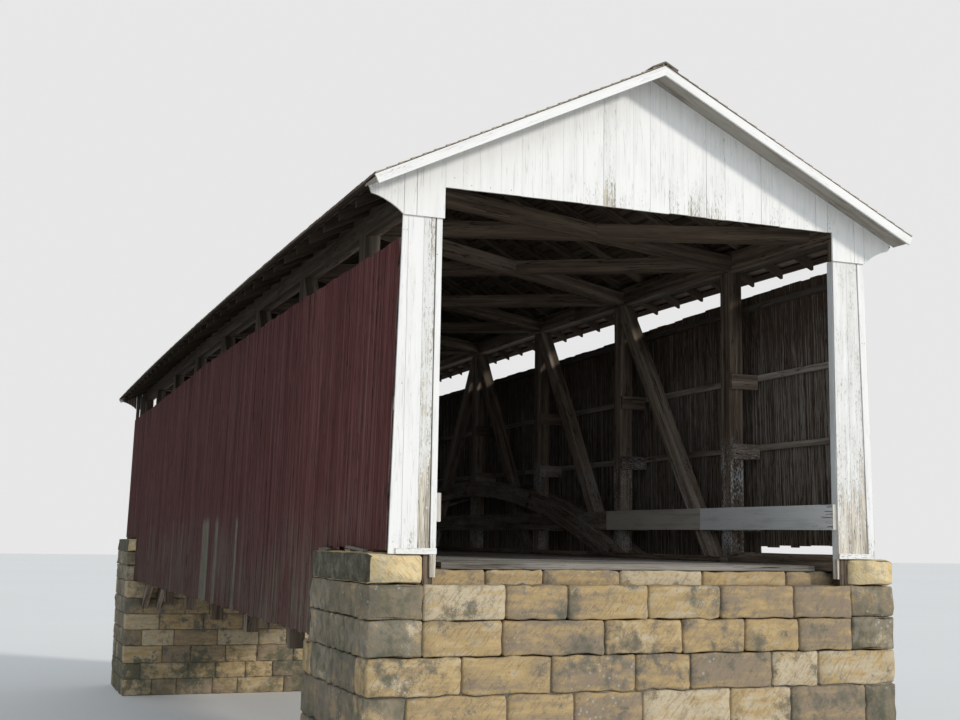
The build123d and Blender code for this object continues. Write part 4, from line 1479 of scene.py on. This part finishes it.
@dataclass
class Portal(EndAssembly):
    """The white boarded front at one end: gable with coved ears, legs, rakes and rails."""

    leg_rise: float = 3.477
    opening_rise: float = 3.812
    leg_top_x: float = 2.876
    opening_x: float = 2.425
    ear_x: float = 3.262
    ear_tip: float = 0.08
    ear_cove: float = 0.028
    ear_board: float = 0.14
    soffit_depth: float = 0.07
    soffit_thick: float = 0.02
    corner_drop: float = 0.23
    jamb: float = 0.09
    nail: Size = (0.0045, 0.002)
    nail_rows: Size = (0.05, 0.11)
    nail_foot: float = 0.12
    nail_step: float = 0.8
    nail_shifts: Size = (-0.018, 0.018)
    bare_nails: float = 0.35
    base: Size = (0.018, 0.06)
    base_inset: float = 0.075
    rake: Size = (0.025, 0.10)
    rail: Size = (0.05, 0.29)
    rail_foot: float = 0.33
    rail_start: float = 0.021
    rail_joint: float = 2.98
    splice: float = 5.8
    split_count: int = 14
    leg_seams: BySide = BySide(left=(0.0, 0.066, 0.205, 0.375, 1.0), right=(0.0, 0.19, 0.405, 1.0))
    # Paint share of each leg board. The right hand's lower shares add dirt and flaking: partly real wear,
    # partly painted shade.
    leg_paint: BySide = BySide(left=(0.96, 0.62, 0.95, 0.98), right=(0.72, 0.66, 0.90))
    leg_gaps: BySide = BySide(left=(0.002, 0.013, 0.0, 0.001), right=(0.002, 0.0, 0.014))
    gable_seams: BySide = BySide(
        left=(0.0, 0.21, 0.43, 0.58, 0.83, 1.07, 1.32, 1.56, 1.80, 2.04, 2.23, 2.425),
        right=(0.0, 0.24, 0.48, 0.72, 0.97, 1.21, 1.45, 1.70, 1.95, 2.20, 2.36, 2.425),
    )
    open_seams: BySide = BySide(left=(0.58,), right=(0.72, 1.45, 2.20, 2.36))
    gable_wear: BySide = BySide(
        left=(0.07, 0.09, 0.24, 0.07, 0.05, 0.03, 0.02, 0.03, 0.02, 0.02, 0.02),
        right=(0.06, 0.10, 0.13, 0.15, 0.08, 0.06, 0.10, 0.07, 0.05, 0.04, 0.04),
    )

    @property
    def face(self) -> float:
        """Place of the legs' face along the road."""
        return self.end.value * self.plan.half

    @property
    def outward(self) -> Array:
        """Direction away from the bridge."""
        return self.end.value * Y_AXIS

    @property
    def ear_foot_x(self) -> float:
        """Distance out of the ear's foot, where the edge turns square to the rake."""
        return self.ear_x - self.ear_tip / self.plan.per_run * self.plan.slope

    def hand(self, side: Side) -> Side:
        """The side as it is seen by someone who faces this portal."""
        return Side(side.value * -self.end.value)

    def underside(self, x: Array) -> Array:
        """Height of the gable's top edge, under the soffit."""
        return self.plan.roof(x, self.plan.half + self.plan.board, self.soffit_depth)

    def cove(self, x: Array) -> Array:
        """Height of the gable's lower edge outside the opening.

        The ear's foot and the leg's corner are the ends of a circular arc whose middle is lifted
        by the cove, and past the foot the edge runs square to the rake up to the tip.
        """
        foot_x, foot_z = self.ear_foot_x, self.underside(self.ear_x) - self.ear_tip / self.plan.per_run
        start, stop = np.array([[self.leg_top_x, self.plan.foot + self.leg_rise], [foot_x, foot_z]])
        chord = stop - start
        span = np.linalg.norm(chord)
        normal = np.array([-chord[1], chord[0]]) / span
        radius = (span**2 / 4 + self.ear_cove**2) / (2 * self.ear_cove)
        centre = (start + stop) / 2 + normal * (self.ear_cove - radius)
        arc = centre[1] + np.sqrt(np.maximum(radius**2 - (x - centre[0]) ** 2, 0.0))
        tip = foot_z + (x - foot_x) / self.plan.slope
        return np.where(x > foot_x, tip, np.where(x < self.leg_top_x, start[1], arc))

    def gable(self) -> None:
        """Upright boards from the opening or the cove up to the soffit, nailed in two rows."""
        plan = self.plan
        stock = Stock(151 + self.end.value)
        y = self.face + self.end.value * plan.board / 2
        for side in Side:
            hand = self.hand(side)
            ear = [*np.linspace(self.leg_top_x, self.ear_foot_x, 6), self.ear_x - 0.004]
            x = np.array([*self.gable_seams[hand], self.leg_top_x - self.ear_board, *ear])
            seams = x[1:-1]
            is_open = np.isin(seams, self.open_seams[hand])
            is_open |= (seams > self.opening_x) & (seams < self.leg_top_x + 0.01)
            gap = np.where(is_open, 0.002, 0.0003)
            left, right = x[:-1] + np.array([0.001, *gap]), x[1:] - np.array([*gap, 0.0])
            count = len(left)
            inside = right <= self.opening_x + 0.001
            lintel = plan.foot + self.opening_rise + stock.rng.uniform(-0.004, 0.006, count)
            low_left, low_right = (np.where(inside, lintel, self.cove(edge)) for edge in (left, right))
            middle = (left + right) / 2
            start = place(side.value * middle, y, (low_left + low_right) / 2)
            stop = place(side.value * middle, y, self.underside(middle) - 0.001)
            foot_cut = place(-(low_right - low_left) * side.value, 0.0, right - left)
            head_cut = np.array([plan.slope * side.value, 0.0, 1.0])
            section = sawn(right - left, plan.board, 0.0015)
            worn = [*self.gable_wear[hand], *[0.04] * count]
            for i in range(count):
                line, coat = between(start[i], stop[i], 5), self.coat(1.0 - worn[i])
                stock.bars(line, X_AXIS, section[i : i + 1], cuts=(foot_cut[i], head_cut), paint=coat)
            for z_shift in self.nail_rows:
                front = self.face + self.end.value * plan.board
                heads = place(side.value * middle, front, lintel + z_shift)
                bare = inside & (stock.rng.random(count) < self.bare_nails)
                stock.fixings(heads[bare], self.outward, *self.nail)
        self.show(self.end, "gable_boards", "gable", stock, "white", "iron")

    def coat(self, paint: float) -> Array:
        """Paint round an upright board's section: none on its back."""
        coat = np.full(8, paint)
        coat[4 if self.end is End.NEAR else 0] = -1.0
        return coat

    def outer_x(self, z: Array) -> Array:
        """Outer edge of a leg, which flares downwards."""
        return self.leg_top_x + self.plan.batter * (self.plan.foot + self.leg_rise - z)

    def legs(self) -> None:
        """Face boards with open seams, corner board, jamb and base board."""
        plan = self.plan
        stock = Stock(161 + self.end.value)
        y = self.face - self.end.value * plan.board / 2
        top = plan.foot + self.opening_rise
        foot_x = self.outer_x(plan.foot)
        for side in Side:
            hand = self.hand(side)
            shares = np.array(self.leg_seams[hand])
            seams = plan.inner + np.where(shares < 1.0, shares, foot_x - plan.inner)
            lean = (foot_x - self.outer_x(top)) * (shares > 0.4)
            for i, (gap, paint) in enumerate(zip(self.leg_gaps[hand], self.leg_paint[hand])):
                foot = plan.foot - (self.corner_drop if i == 0 and shares[1] < 0.1 else 0.0)
                rows = np.linspace(foot, top, 9)
                rise = (rows - foot) / (top - foot)
                left = seams[i] + gap - lean[i] * rise
                right = seams[i + 1] - 0.001 - lean[i + 1] * rise
                section = sawn(right - left, plan.board, 0.002).transpose(1, 0, 2, 3)
                lines = place(side.value * (left + right) / 2, y, rows)[None]
                stock.bars(lines, X_AXIS, section, paint=self.coat(paint))
                self.nail_board(stock, lines[0])
            self.trim(stock, side.value)
        self.show(self.end, "leg_boards", "legs", stock, "white", "iron", "rail")

    def nail_board(self, stock: Stock, line: Array) -> None:
        """Pairs of nail heads up a leg board, on both sides of its centre line."""
        z = line[0, 2] + self.nail_foot + np.arange(5) * self.nail_step
        x = np.interp(z, line[:, 2], line[:, 0])
        for shift in self.nail_shifts:
            bare = stock.rng.random(len(z)) < self.bare_nails
            stock.fixings(place(x + shift, self.face, z)[bare], self.outward, *self.nail)

    def trim(self, stock: Stock, s: int) -> None:
        """The jamb inside the opening, in the darker rail paint as painted shade, and the base board across
        the leg's foot.
        """
        plan, e = self.plan, self.end.value
        x, y = s * (plan.inner + plan.board / 2), self.face - e * (plan.board + self.jamb / 2)
        line = between((x, y, plan.foot - self.corner_drop), (x, y, plan.foot + self.leg_rise), 8)
        # The jamb takes the rail paint in slot 2, which paints shade on its face.
        stock.bars(line, Y_AXIS, sawn(self.jamb, plan.board, 0.002), paint=0.95, slot=2)
        thick, height = self.base
        y, z = self.face + e * thick / 2, plan.foot + height / 2
        line = between((s * plan.inner, y, z), (s * (self.outer_x(plan.foot) - self.base_inset), y, z), 5)
        stock.bars(line, Y_AXIS, sawn(thick, height, 0.003), paint=0.97, rough=0.001)

    def rakes(self) -> None:
        """Rake boards and the soffit boards behind them."""
        plan, e = self.plan, self.end.value
        stock = Stock(171 + e)
        thick, depth = self.rake
        front = e * (plan.gable_end - thick / 2)
        x = np.linspace(0.0, plan.eave, 8)
        rake_x = x * (1 - plan.slope / plan.per_run * depth / 2 / plan.eave)
        soffit_edges = np.linspace(plan.gable_end - thick - 0.001, plan.half + plan.board, 4)
        below, soffit_below = Roof.shingle + depth / 2, self.soffit_depth - self.soffit_thick / 2
        for side in Side:
            line = place(side.value * rake_x, front, plan.roof(rake_x, front, below))[None]
            stock.bars(line, Y_AXIS, sawn(thick, depth, 0.003), cuts=(X_AXIS, None), paint=0.96)
            for outer, inner in zip(soffit_edges, soffit_edges[1:]):
                y = e * (outer + inner) / 2
                line = place(side.value * x, y, plan.roof(x, y, soffit_below))[None]
                section = sawn(outer - inner - 0.003, self.soffit_thick, 0.0015)
                stock.bars(line, Y_AXIS, section, cuts=(X_AXIS, X_AXIS), slot=1)
        self.show(self.end, "rake_boards", "rake", stock, "white", "soffit")

    def posts(self) -> None:
        """Light posts behind the corners."""
        stock = Stock(181 + self.end.value)
        low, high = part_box(self.end.node("portal_posts"))
        size = high[1] - low[1]
        y = (low[1] + high[1]) / 2
        for side in Side:
            x = side.value * (high[0] - size / 2)
            line = between((x, y, low[2]), (x, y, high[2]), 10)
            stock.bars(line, X_AXIS, sawn(size, size, 0.005), tone=0.0, rough=0.002, wave=0.6)
        self.show(self.end, "corner_posts", "portal_posts", stock, "timber")

    def rails(self) -> None:
        """The painted rails: a sound board at the portal, then one that has flaked."""
        plan, e = self.plan, self.end.value
        stock = Stock(191 + e)
        thick, height = self.rail
        insets = (self.rail_start, self.rail_joint, self.splice)
        start, joint, stop = (plan.half - inset for inset in insets)
        z = plan.foot + self.rail_foot + height / 2
        for side in Side:
            x = side.value * (plan.inner - thick / 2)
            for slot, (a, b) in enumerate(((start, joint + 0.002), (joint - 0.002, stop))):
                line = between((x, e * a, z), (x, e * b, z), 8)
                stock.bars(line, Z_AXIS, sawn(height, thick, 0.004), slot=slot, rough=0.0015, wave=0.5)
            self.splits(stock, side.value, start, z)
        self.show(self.end, "guard_rails", "painted_rails", stock, "rail", "soiled", "timber")

    def splits(self, stock: Stock, s: int, start: float, z: float) -> None:
        """Dark drying splits at the end of a rail: thin slivers along its road face.

        Args:
            stock: Where they go.
            s: Sign of the side.
            start: Distance of the rail's end from mid-span.
            z: Level of the rail's middle.
        """
        count, e = self.split_count, self.end.value
        thick, height = self.rail
        level = z + stock.rng.uniform(-0.47, 0.47, count) * height
        first = start - stock.rng.uniform(0.001, 0.012, count)
        last = first - stock.rng.uniform(0.02, 0.24, count)
        fall = stock.rng.uniform(-0.014, 0.014, count)
        x = s * (self.plan.inner - thick)
        lines = between((x, e * first, level), (x, e * last, level + fall), 3)
        section = sawn(stock.rng.uniform(0.002, 0.008, count), 0.002, 0.0005)
        stock.bars(lines, Z_AXIS, section, slot=2, tone=0.0)

    def build(self) -> None:
        """The whole portal."""
        for make in (self.gable, self.legs, self.rakes, self.posts, self.rails):
            make()


@dataclass
class Floor(SubAssembly):
    """Floor beams, stringers, planks, wheel guards, sills and the old rails of mid-span."""

    beam: Size = (0.20, 0.30)
    stringer: Size = (0.10, 0.27)
    stringer_lengths: Size = (4.5, 6.5)
    plank_widths: Size = (0.19, 0.27)
    nailed_x: float = 1.95
    curb: Size = (0.12, 0.07)
    curb_lengths: Size = (3.6, 5.0)
    first_curb_bolt: float = 0.4
    curb_bolt_step: float = 1.5
    rail_thick: float = 0.05
    rail_joints: Size = (-1.3, 1.9)

    def beams(self) -> None:
        """Cross beams where the construction has them, from the side of the arches outward."""
        stock = Stock(201)
        low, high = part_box("floor_beams")
        y, z = self.beam_places(high[1] - self.beam[0] / 2), (low[2] + high[2]) / 2
        lines = between((low[0], y, z), (high[0], y, z), 10)
        stock.bars(lines, Y_AXIS, sawn(*self.beam, 0.008), rough=0.003, wave=0.7)
        self.show(None, "cross_beams", "floor_beams", stock, "timber")

    def beam_places(self, first: float) -> Array:
        """Centres of the beams along the road, kept clear of the arches as in the construction."""
        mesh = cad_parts["floor_beams"].data
        coords = np.empty(len(mesh.vertices) * 3, np.float32)
        mesh.vertices.foreach_get("co", coords)
        faces = np.unique(np.round(coords.reshape(-1, 3)[:, 1], 4))
        centres = (faces[1::2] + faces[::2]) / 2
        return centres[np.abs(centres) <= first + 0.01]

    def stringers(self) -> None:
        """Seven rows of joists in butted lengths."""
        stock = Stock(211)
        low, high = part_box("stringers")
        width, height = self.stringer
        for x in np.linspace(low[0] + width / 2, high[0] - width / 2, 7):
            ends = strips(stock.rng, low[1], high[1], *self.stringer_lengths)
            line = butted(x, ends, (low[2] + high[2]) / 2, 6)
            stock.bars(line, Z_AXIS, sawn(height, width, 0.005), rough=0.002, wave=0.8)
        self.show(None, "stringer_joists", "stringers", stock, "timber")

    def planks(self) -> None:
        """Planks across the road, with nail heads over the outer and middle joists."""
        stock = Stock(221)
        low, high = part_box("deck")
        edges = strips(stock.rng, low[1], high[1], *self.plank_widths)
        count, y = len(edges) - 1, middles(edges)
        width = np.diff(edges) - stock.rng.uniform(0.003, 0.009, count)
        thick = high[2] - low[2]
        level = (low[2] + high[2]) / 2 - stock.rng.uniform(0.0, 0.004, count)
        inset = stock.rng.uniform(0.0, 0.02, (count, 2))
        lines = between((low[0] + inset[:, 0], y, level), (high[0] - inset[:, 1], y, level), 9)
        stock.bars(lines, Y_AXIS, sawn(width, thick - 0.002, 0.006), rough=0.002, wave=0.5)
        for x in np.linspace(-self.nailed_x, self.nailed_x, 7):
            for shift in NAILED:
                heads = place(x, y + width * shift, level + thick / 2 - 0.001)
                stock.fixings(heads, Z_AXIS, 0.006, 0.0015)
        self.show(None, "deck_boards", "deck", stock, "planks", "iron")

    def curbs(self) -> None:
        """Wheel guards in butted lengths, bolted down."""
        stock = Stock(231)
        low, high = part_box("curbs")
        width, height = self.curb
        for side in Side:
            x = side.value * (high[0] - width / 2)
            ends = strips(stock.rng, low[1], high[1], *self.curb_lengths)
            line = butted(x, ends, (low[2] + high[2]) / 2, 6, 0.003)
            stock.bars(line, X_AXIS, sawn(width, height, 0.012), rough=0.003, wave=0.5)
            bolts_y = np.arange(low[1] + self.first_curb_bolt, high[1], self.curb_bolt_step)
            stock.fixings(place(x, bolts_y, high[2] - 0.002), Z_AXIS, 0.02, 0.012)
        self.show(None, "wheel_guards", "curbs", stock, "timber", "iron")

    def sills(self) -> None:
        """Short timbers on the backwalls, between the portals and the end posts."""
        stock = Stock(251)
        low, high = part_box("sills")
        width = high[0] - self.plan.inner
        stop = self.plan.posts[-1] + self.plan.post_depth / 2 + 0.001
        z = (low[2] + high[2]) / 2
        for side in Side:
            x = side.value * (high[0] - width / 2)
            for end in End:
                line = between((x, end.value * high[1], z), (x, end.value * stop, z), 8)
                stock.bars(line, X_AXIS, sawn(width, high[2] - low[2], 0.01), rough=0.003, wave=0.4)
        self.show(None, "sill_timbers", "sills", stock, "timber")

    def bare_rails(self) -> None:
        """Old rails inside the arches, in butted lengths."""
        stock = Stock(241)
        low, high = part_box("bare_rails")
        for side in Side:
            x = side.value * (self.plan.inner - self.rail_thick / 2)
            line = butted(x, np.array([low[1], *self.rail_joints, high[1]]), (low[2] + high[2]) / 2, 8)
            stock.bars(line, Z_AXIS, sawn(high[2] - low[2], self.rail_thick, 0.004), rough=0.003, wave=0.4)
        self.show(None, "old_rails", "bare_rails", stock, "dusty")

    def build(self) -> None:
        """The whole floor."""
        for make in (self.beams, self.stringers, self.planks, self.curbs, self.sills, self.bare_rails):
            make()


@dataclass
class Masonry(EndAssembly):
    """Coursed stonework of one abutment, its backwall and its wing walls."""

    lengths: Size = (0.55, 1.15)
    courses: Size = (0.34, 0.44)
    joint: float = 0.012
    depth: float = 0.42
    arris: float = 0.02
    # Paint mark of the side stones: more crust and moss, partly moisture and partly painted shade.
    damp_and_shade: float = 0.4
    stone_rows: int = 10
    core_inset: float = 0.035
    wing_courses: Size = (0.37, 0.30)
    coping_rows: int = 24
    coping_joint: float = 0.008
    backwall_course: float = 0.36
    backwall_depth: float = 1.0
    road_step: Size = (0.30, 0.30)

    def dressed(self, height: float, depth: float, rows: int) -> Array:
        """Section of a stone, a rectangle with rounded corners, for each of its rows.

        Each corner has three points on its quarter circle, and each side three more, evenly spaced.
        The first and the last row are drawn in by the corners' radius.

        Args:
            height: Size along the section's first axis.
            depth: Size the other way.
            rows: Number of rows.

        Returns:
            The points, as 1, rows, points and 2.
        """
        size, r = np.array([height, depth]) / 2.0, self.arris
        arcs = []
        for quarter, corner in enumerate(((-1, -1), (1, -1), (1, 1), (-1, 1))):
            turn = math.pi * (1 + (quarter + np.array([0.0, 0.5, 1.0])) / 2)
            arcs.append(corner * (size - r) + r * np.stack([np.cos(turn), np.sin(turn)], axis=-1))
        share = np.array([0.25, 0.5, 0.75])[:, None]
        ring = []
        for arc, following in zip(arcs, arcs[1:] + arcs[:1]):
            ring += [arc, arc[-1] * (1 - share) + following[0] * share]
        section = np.repeat(np.concatenate(ring)[None, None], rows, axis=1)
        for row in (0, -1):
            section[:, row] = np.sign(section[:, row]) * np.maximum(np.abs(section[:, row]) - r, 0.001)
        return section

    def stones(
        self, stock: Stock, start: Any, stop: Any, height: float, depth: float, clean: float = 1.0
    ) -> None:
        """A row of stones of uneven length between two points.

        Args:
            stock: Where the stones go.
            start: X, Y and Z of the middle of the row's first end.
            stop: The same for its last end.
            height: Height of the row.
            depth: Size the other way.
            clean: 1 for stones that rain washes and less for those that get more crust and moss, partly from
                moisture and partly as painted shade on side faces.
        """
        start, stop = place(*start), place(*stop)
        run = float(np.linalg.norm(stop - start))
        edges = strips(stock.rng, 0.0, run, *self.lengths)
        first, last = edges[:-1] + self.joint / 2, edges[1:] - self.joint / 2
        inner = np.linspace(first + self.arris, last - self.arris, self.stone_rows - 2, axis=1)
        along = np.concatenate([first[:, None], inner, last[:, None]], axis=1)
        lines = start + (stop - start) / run * along[..., None]
        section = self.dressed(height - self.joint, depth, self.stone_rows)
        stock.bars(lines, Z_AXIS, section, rough=0.012, wave=0.17, floor=0.0, paint=clean)

    def body(self) -> None:
        """The abutment: courses of face stones round a core, with stones that turn each corner."""
        plan, d = self.plan, self.depth
        stock = Stock(251 + self.end.value)
        low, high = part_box(self.end.node("abutment"))
        levels = strips(stock.rng, 0.0, plan.seat, *self.courses)
        x, y0, y1 = high[0], low[1], high[1]
        for i, (bottom, top) in enumerate(zip(levels, levels[1:])):
            z, height = (bottom + top) / 2, top - bottom
            quoin = d if i % 2 else 0.0
            for y in (y0 + d / 2, y1 - d / 2):
                self.stones(stock, (-x + quoin, y, z), (x - quoin, y, z), height, d)
            for s in (-1, 1):
                start, stop = ((s * (x - d / 2), y, z) for y in (y0 + d - quoin, y1 - d + quoin))
                self.stones(stock, start, stop, height, d, self.damp_and_shade)
        height, depth = levels[-1] - levels[-2], (y1 - y0 - 2 * d) / 4
        z = plan.seat - height / 2
        for y in np.linspace(y0 + d, y1 - d, 5)[:-1] + (y1 - y0 - 2 * d) / 8:
            self.stones(stock, (-x + d, y, z), (x - d, y, z), height, depth)
        inset, z = self.core_inset, plan.seat / 2
        core = between((0.0, y0 + inset, z), (0.0, y1 - inset, z), 2)
        stock.bars(core, X_AXIS, sawn(2 * (x - inset), plan.seat - inset, 0.01), slot=1)
        self.show(self.end, "abutment_stones", "abutment", stock, "stone", "mortar", smooth=True)

    def wings(self) -> None:
        """Wing walls one stone thick, with a long coping stone under each portal leg."""
        plan = self.plan
        stock = Stock(261 + self.end.value)
        low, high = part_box(self.end.node("wing_walls"))
        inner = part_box(self.end.node("backwall"))[1][0]
        x, wide = (inner + high[0]) / 2, high[0] - inner
        first, coping = self.wing_courses
        levels = (plan.seat, plan.seat + first, plan.foot - coping, plan.foot)
        for s in (-1, 1):
            for i, (bottom, top) in enumerate(zip(levels, levels[1:])):
                z, height = (bottom + top) / 2, top - bottom
                start, stop = (s * x, low[1], z), (s * x, high[1], z)
                if i == 2:
                    self.coping(stock, place(*start), place(*stop), height, wide)
                else:
                    self.stones(stock, start, stop, height, wide, self.damp_and_shade)
        self.show(self.end, "wing_stones", "wing_walls", stock, "stone", "coping", smooth=True)

    def coping(self, stock: Stock, start: Array, stop: Array, height: float, wide: float) -> None:
        """One long stone, with more rows so that its face can wander, darkened by painted shade on the left
        wing's outer side.

        Args:
            stock: Where the stone goes.
            start: Middle of its first end.
            stop: Middle of its last end.
            height: Its height.
            wide: Its width.
        """
        held = unit(stop - start) * self.coping_joint / 2
        section = self.dressed(height - self.coping_joint, wide, self.coping_rows)
        coat = np.ones(section.shape[-2])
        # Painted shade: the left coping's outer side is marked unpainted, so it turns dark grey-green.
        if start[0] < 0:
            coat[1:8] = 0.0
        lines = between(start + held, stop - held, self.coping_rows)
        stock.bars(lines, Z_AXIS, section, rough=0.008, wave=0.3, tone=0.45, paint=coat, slot=1)

    def backwall(self) -> None:
        """The wall behind the floor: two courses across, stepped back for the road."""
        plan, e = self.plan, self.end.value
        stock = Stock(271 + e)
        low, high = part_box(self.end.node("backwall"))
        step, drop = self.road_step
        rear, front, step_y = (e * (plan.rear - depth) for depth in (0.0, self.backwall_depth, step))
        middle, ledge = plan.seat + self.backwall_course, plan.foot - drop
        rows = (
            (plan.seat, middle, rear, (rear + front) / 2),
            (plan.seat, middle, (rear + front) / 2, front),
            (middle, ledge, rear, step_y),
            (middle, high[2], step_y, front),
        )
        for bottom, top, y_a, y_b in rows:
            y, z = (y_a + y_b) / 2, (bottom + top) / 2
            self.stones(stock, (low[0], y, z), (high[0], y, z), top - bottom, abs(y_b - y_a) - self.joint / 2)
        self.show(self.end, "backwall_stones", "backwall", stock, "stone", smooth=True)

    def build(self) -> None:
        """The whole abutment."""
        for make in (self.body, self.wings, self.backwall):
            make()


@dataclass(frozen=True)
class Studio:
    """A pale floor, a white surround, a soft key from the front right and the photo's camera.

    Args:
        focal_pixels: Focal length in pixels of a picture of the given width.
        picture_width: That width.
        yaw: Camera's turn to the right of the road's direction, in radians.
        pitch: Its tilt up.
        roll: Its turn about the view.
        eye: Where it stands.
        sky: Colour of the sky's light.
        sky_strength: Its strength.
        suns: Name, strength, width in degrees, colour and direction of each lamp. The key runs
            parallel to the roof's left slope in front view, and the fill is broad.
        floor_reach: How far the floor goes each way.
        floor_tones: Its two colours.
    """

    focal_pixels: float = 1301.4
    picture_width: float = 960.0
    yaw: float = 0.3674
    pitch: float = 0.1362
    roll: float = 0.0165
    eye: Size = (-6.833, -24.372, 3.967)
    sky: Colour = (0.87, 0.935, 1.0)
    sky_strength: float = 0.60
    suns: tuple[tuple[str, float, float, Colour, Size], ...] = (
        ("key", 2.1, 7.0, (1.0, 0.955, 0.89), (-0.62, 0.70, -0.355)),
        ("fill", 0.7, 80.0, (0.93, 0.96, 1.0), (0.20, 0.97, -0.12)),
    )
    floor_reach: float = 220.0
    floor_tones: tuple[Colour, Colour] = ((0.80, 0.80, 0.79), (0.82, 0.82, 0.81))

    def camera(self) -> None:
        """Places the camera: its axes are the view, right and up, turned by yaw, pitch and roll."""
        ahead = np.array([math.sin(self.yaw), math.cos(self.yaw), 0.0])
        right = np.array([math.cos(self.yaw), -math.sin(self.yaw), 0.0])
        view = ahead * math.cos(self.pitch) + Z_AXIS * math.sin(self.pitch)
        up = Z_AXIS * math.cos(self.pitch) - ahead * math.sin(self.pitch)
        turned_right = right * math.cos(self.roll) + up * math.sin(self.roll)
        turned_up = up * math.cos(self.roll) - right * math.sin(self.roll)
        data = bpy.data.cameras.new("camera")
        data.sensor_width = 36.0
        data.lens = self.focal_pixels / self.picture_width * data.sensor_width
        data.clip_end = 500.0
        obj = add_object("camera", data)
        axes = np.stack([turned_right, turned_up, -view], axis=1)
        obj.matrix_world = Matrix.Translation(self.eye) @ Matrix(axes.tolist()).to_4x4()
        bpy.context.scene.camera = obj

    def lamps(self) -> None:
        """The key and the fill."""
        for name, strength, width, colour, towards in self.suns:
            data = bpy.data.lights.new(name, "SUN")
            data.energy = strength
            data.angle = math.radians(width)
            data.color = colour
            add_object(name, data).rotation_euler = Vector(towards).to_track_quat("-Z", "Y").to_euler()

    def surround(self) -> None:
        """A soft sky that the camera, glass and metal see as white."""
        world = bpy.data.worlds.new("surround")
        bpy.context.scene.world = world
        world.use_nodes = True
        tree = world.node_tree
        tree.nodes.clear()
        kinds = ("LightPath", "Background", "Background", "Math", "Math", "MixShader", "OutputWorld")
        path, sky, white, seen, either, mix, out = (tree.nodes.new(f"ShaderNode{kind}") for kind in kinds)
        sky.inputs[0].default_value = (*self.sky, 1.0)
        sky.inputs[1].default_value = self.sky_strength
        seen.operation = either.operation = "MAXIMUM"
        for start, stop in (
            (path.outputs["Is Camera Ray"], seen.inputs[0]),
            (path.outputs["Is Glossy Ray"], seen.inputs[1]),
            (seen.outputs[0], either.inputs[0]),
            (path.outputs["Is Transmission Ray"], either.inputs[1]),
            (either.outputs[0], mix.inputs[0]),
            (sky.outputs[0], mix.inputs[1]),
            (white.outputs[0], mix.inputs[2]),
            (mix.outputs[0], out.inputs[0]),
        ):
            tree.links.new(start, stop)

    def floor(self) -> None:
        """A wide pale floor at ground level."""
        square = np.array([[-1, -1, 0], [1, -1, 0], [1, 1, 0], [-1, 1, 0]]) * self.floor_reach
        mesh = bpy.data.meshes.new("floor")
        mesh.from_pydata(square, [], [(0, 1, 2, 3)])
        graph = Graph("floor")
        cloud = graph.noise(0.05, 2.0)
        colour = graph.ramp(cloud, *zip((0.3, 0.7), self.floor_tones))
        mesh.materials.append(graph.finish(colour, 0.9, cloud, 0.001, 0.3))
        obj = add_object("floor", mesh)

    def build(self) -> None:
        """The whole studio."""
        for make in (self.camera, self.lamps, self.surround, self.floor):
            make()
        bpy.context.scene.view_settings.view_transform = "Standard"


def corners(box: Any) -> list[list[float]]:
    """A box as plain lists of numbers."""
    return [[float(value) for value in corner] for corner in box]


def main() -> None:
    """Builds the studio and every part of the bridge in order."""
    logging.basicConfig(level=logging.INFO, format="%(name)s %(message)s")
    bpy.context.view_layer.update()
    plan = Plan.from_frame()
    Studio().build()
    finishes = build_finishes()
    assemblies = [kind(plan, finishes) for kind in (SideWall, Truss, Roof, Floor)]
    assemblies += [kind(plan, finishes, end) for kind in (Portal, Masonry) for end in End]
    for assembly in assemblies:
        assembly.build()
        log.info("%s built", type(assembly).__name__)


if __name__ == "__main__":
    main()
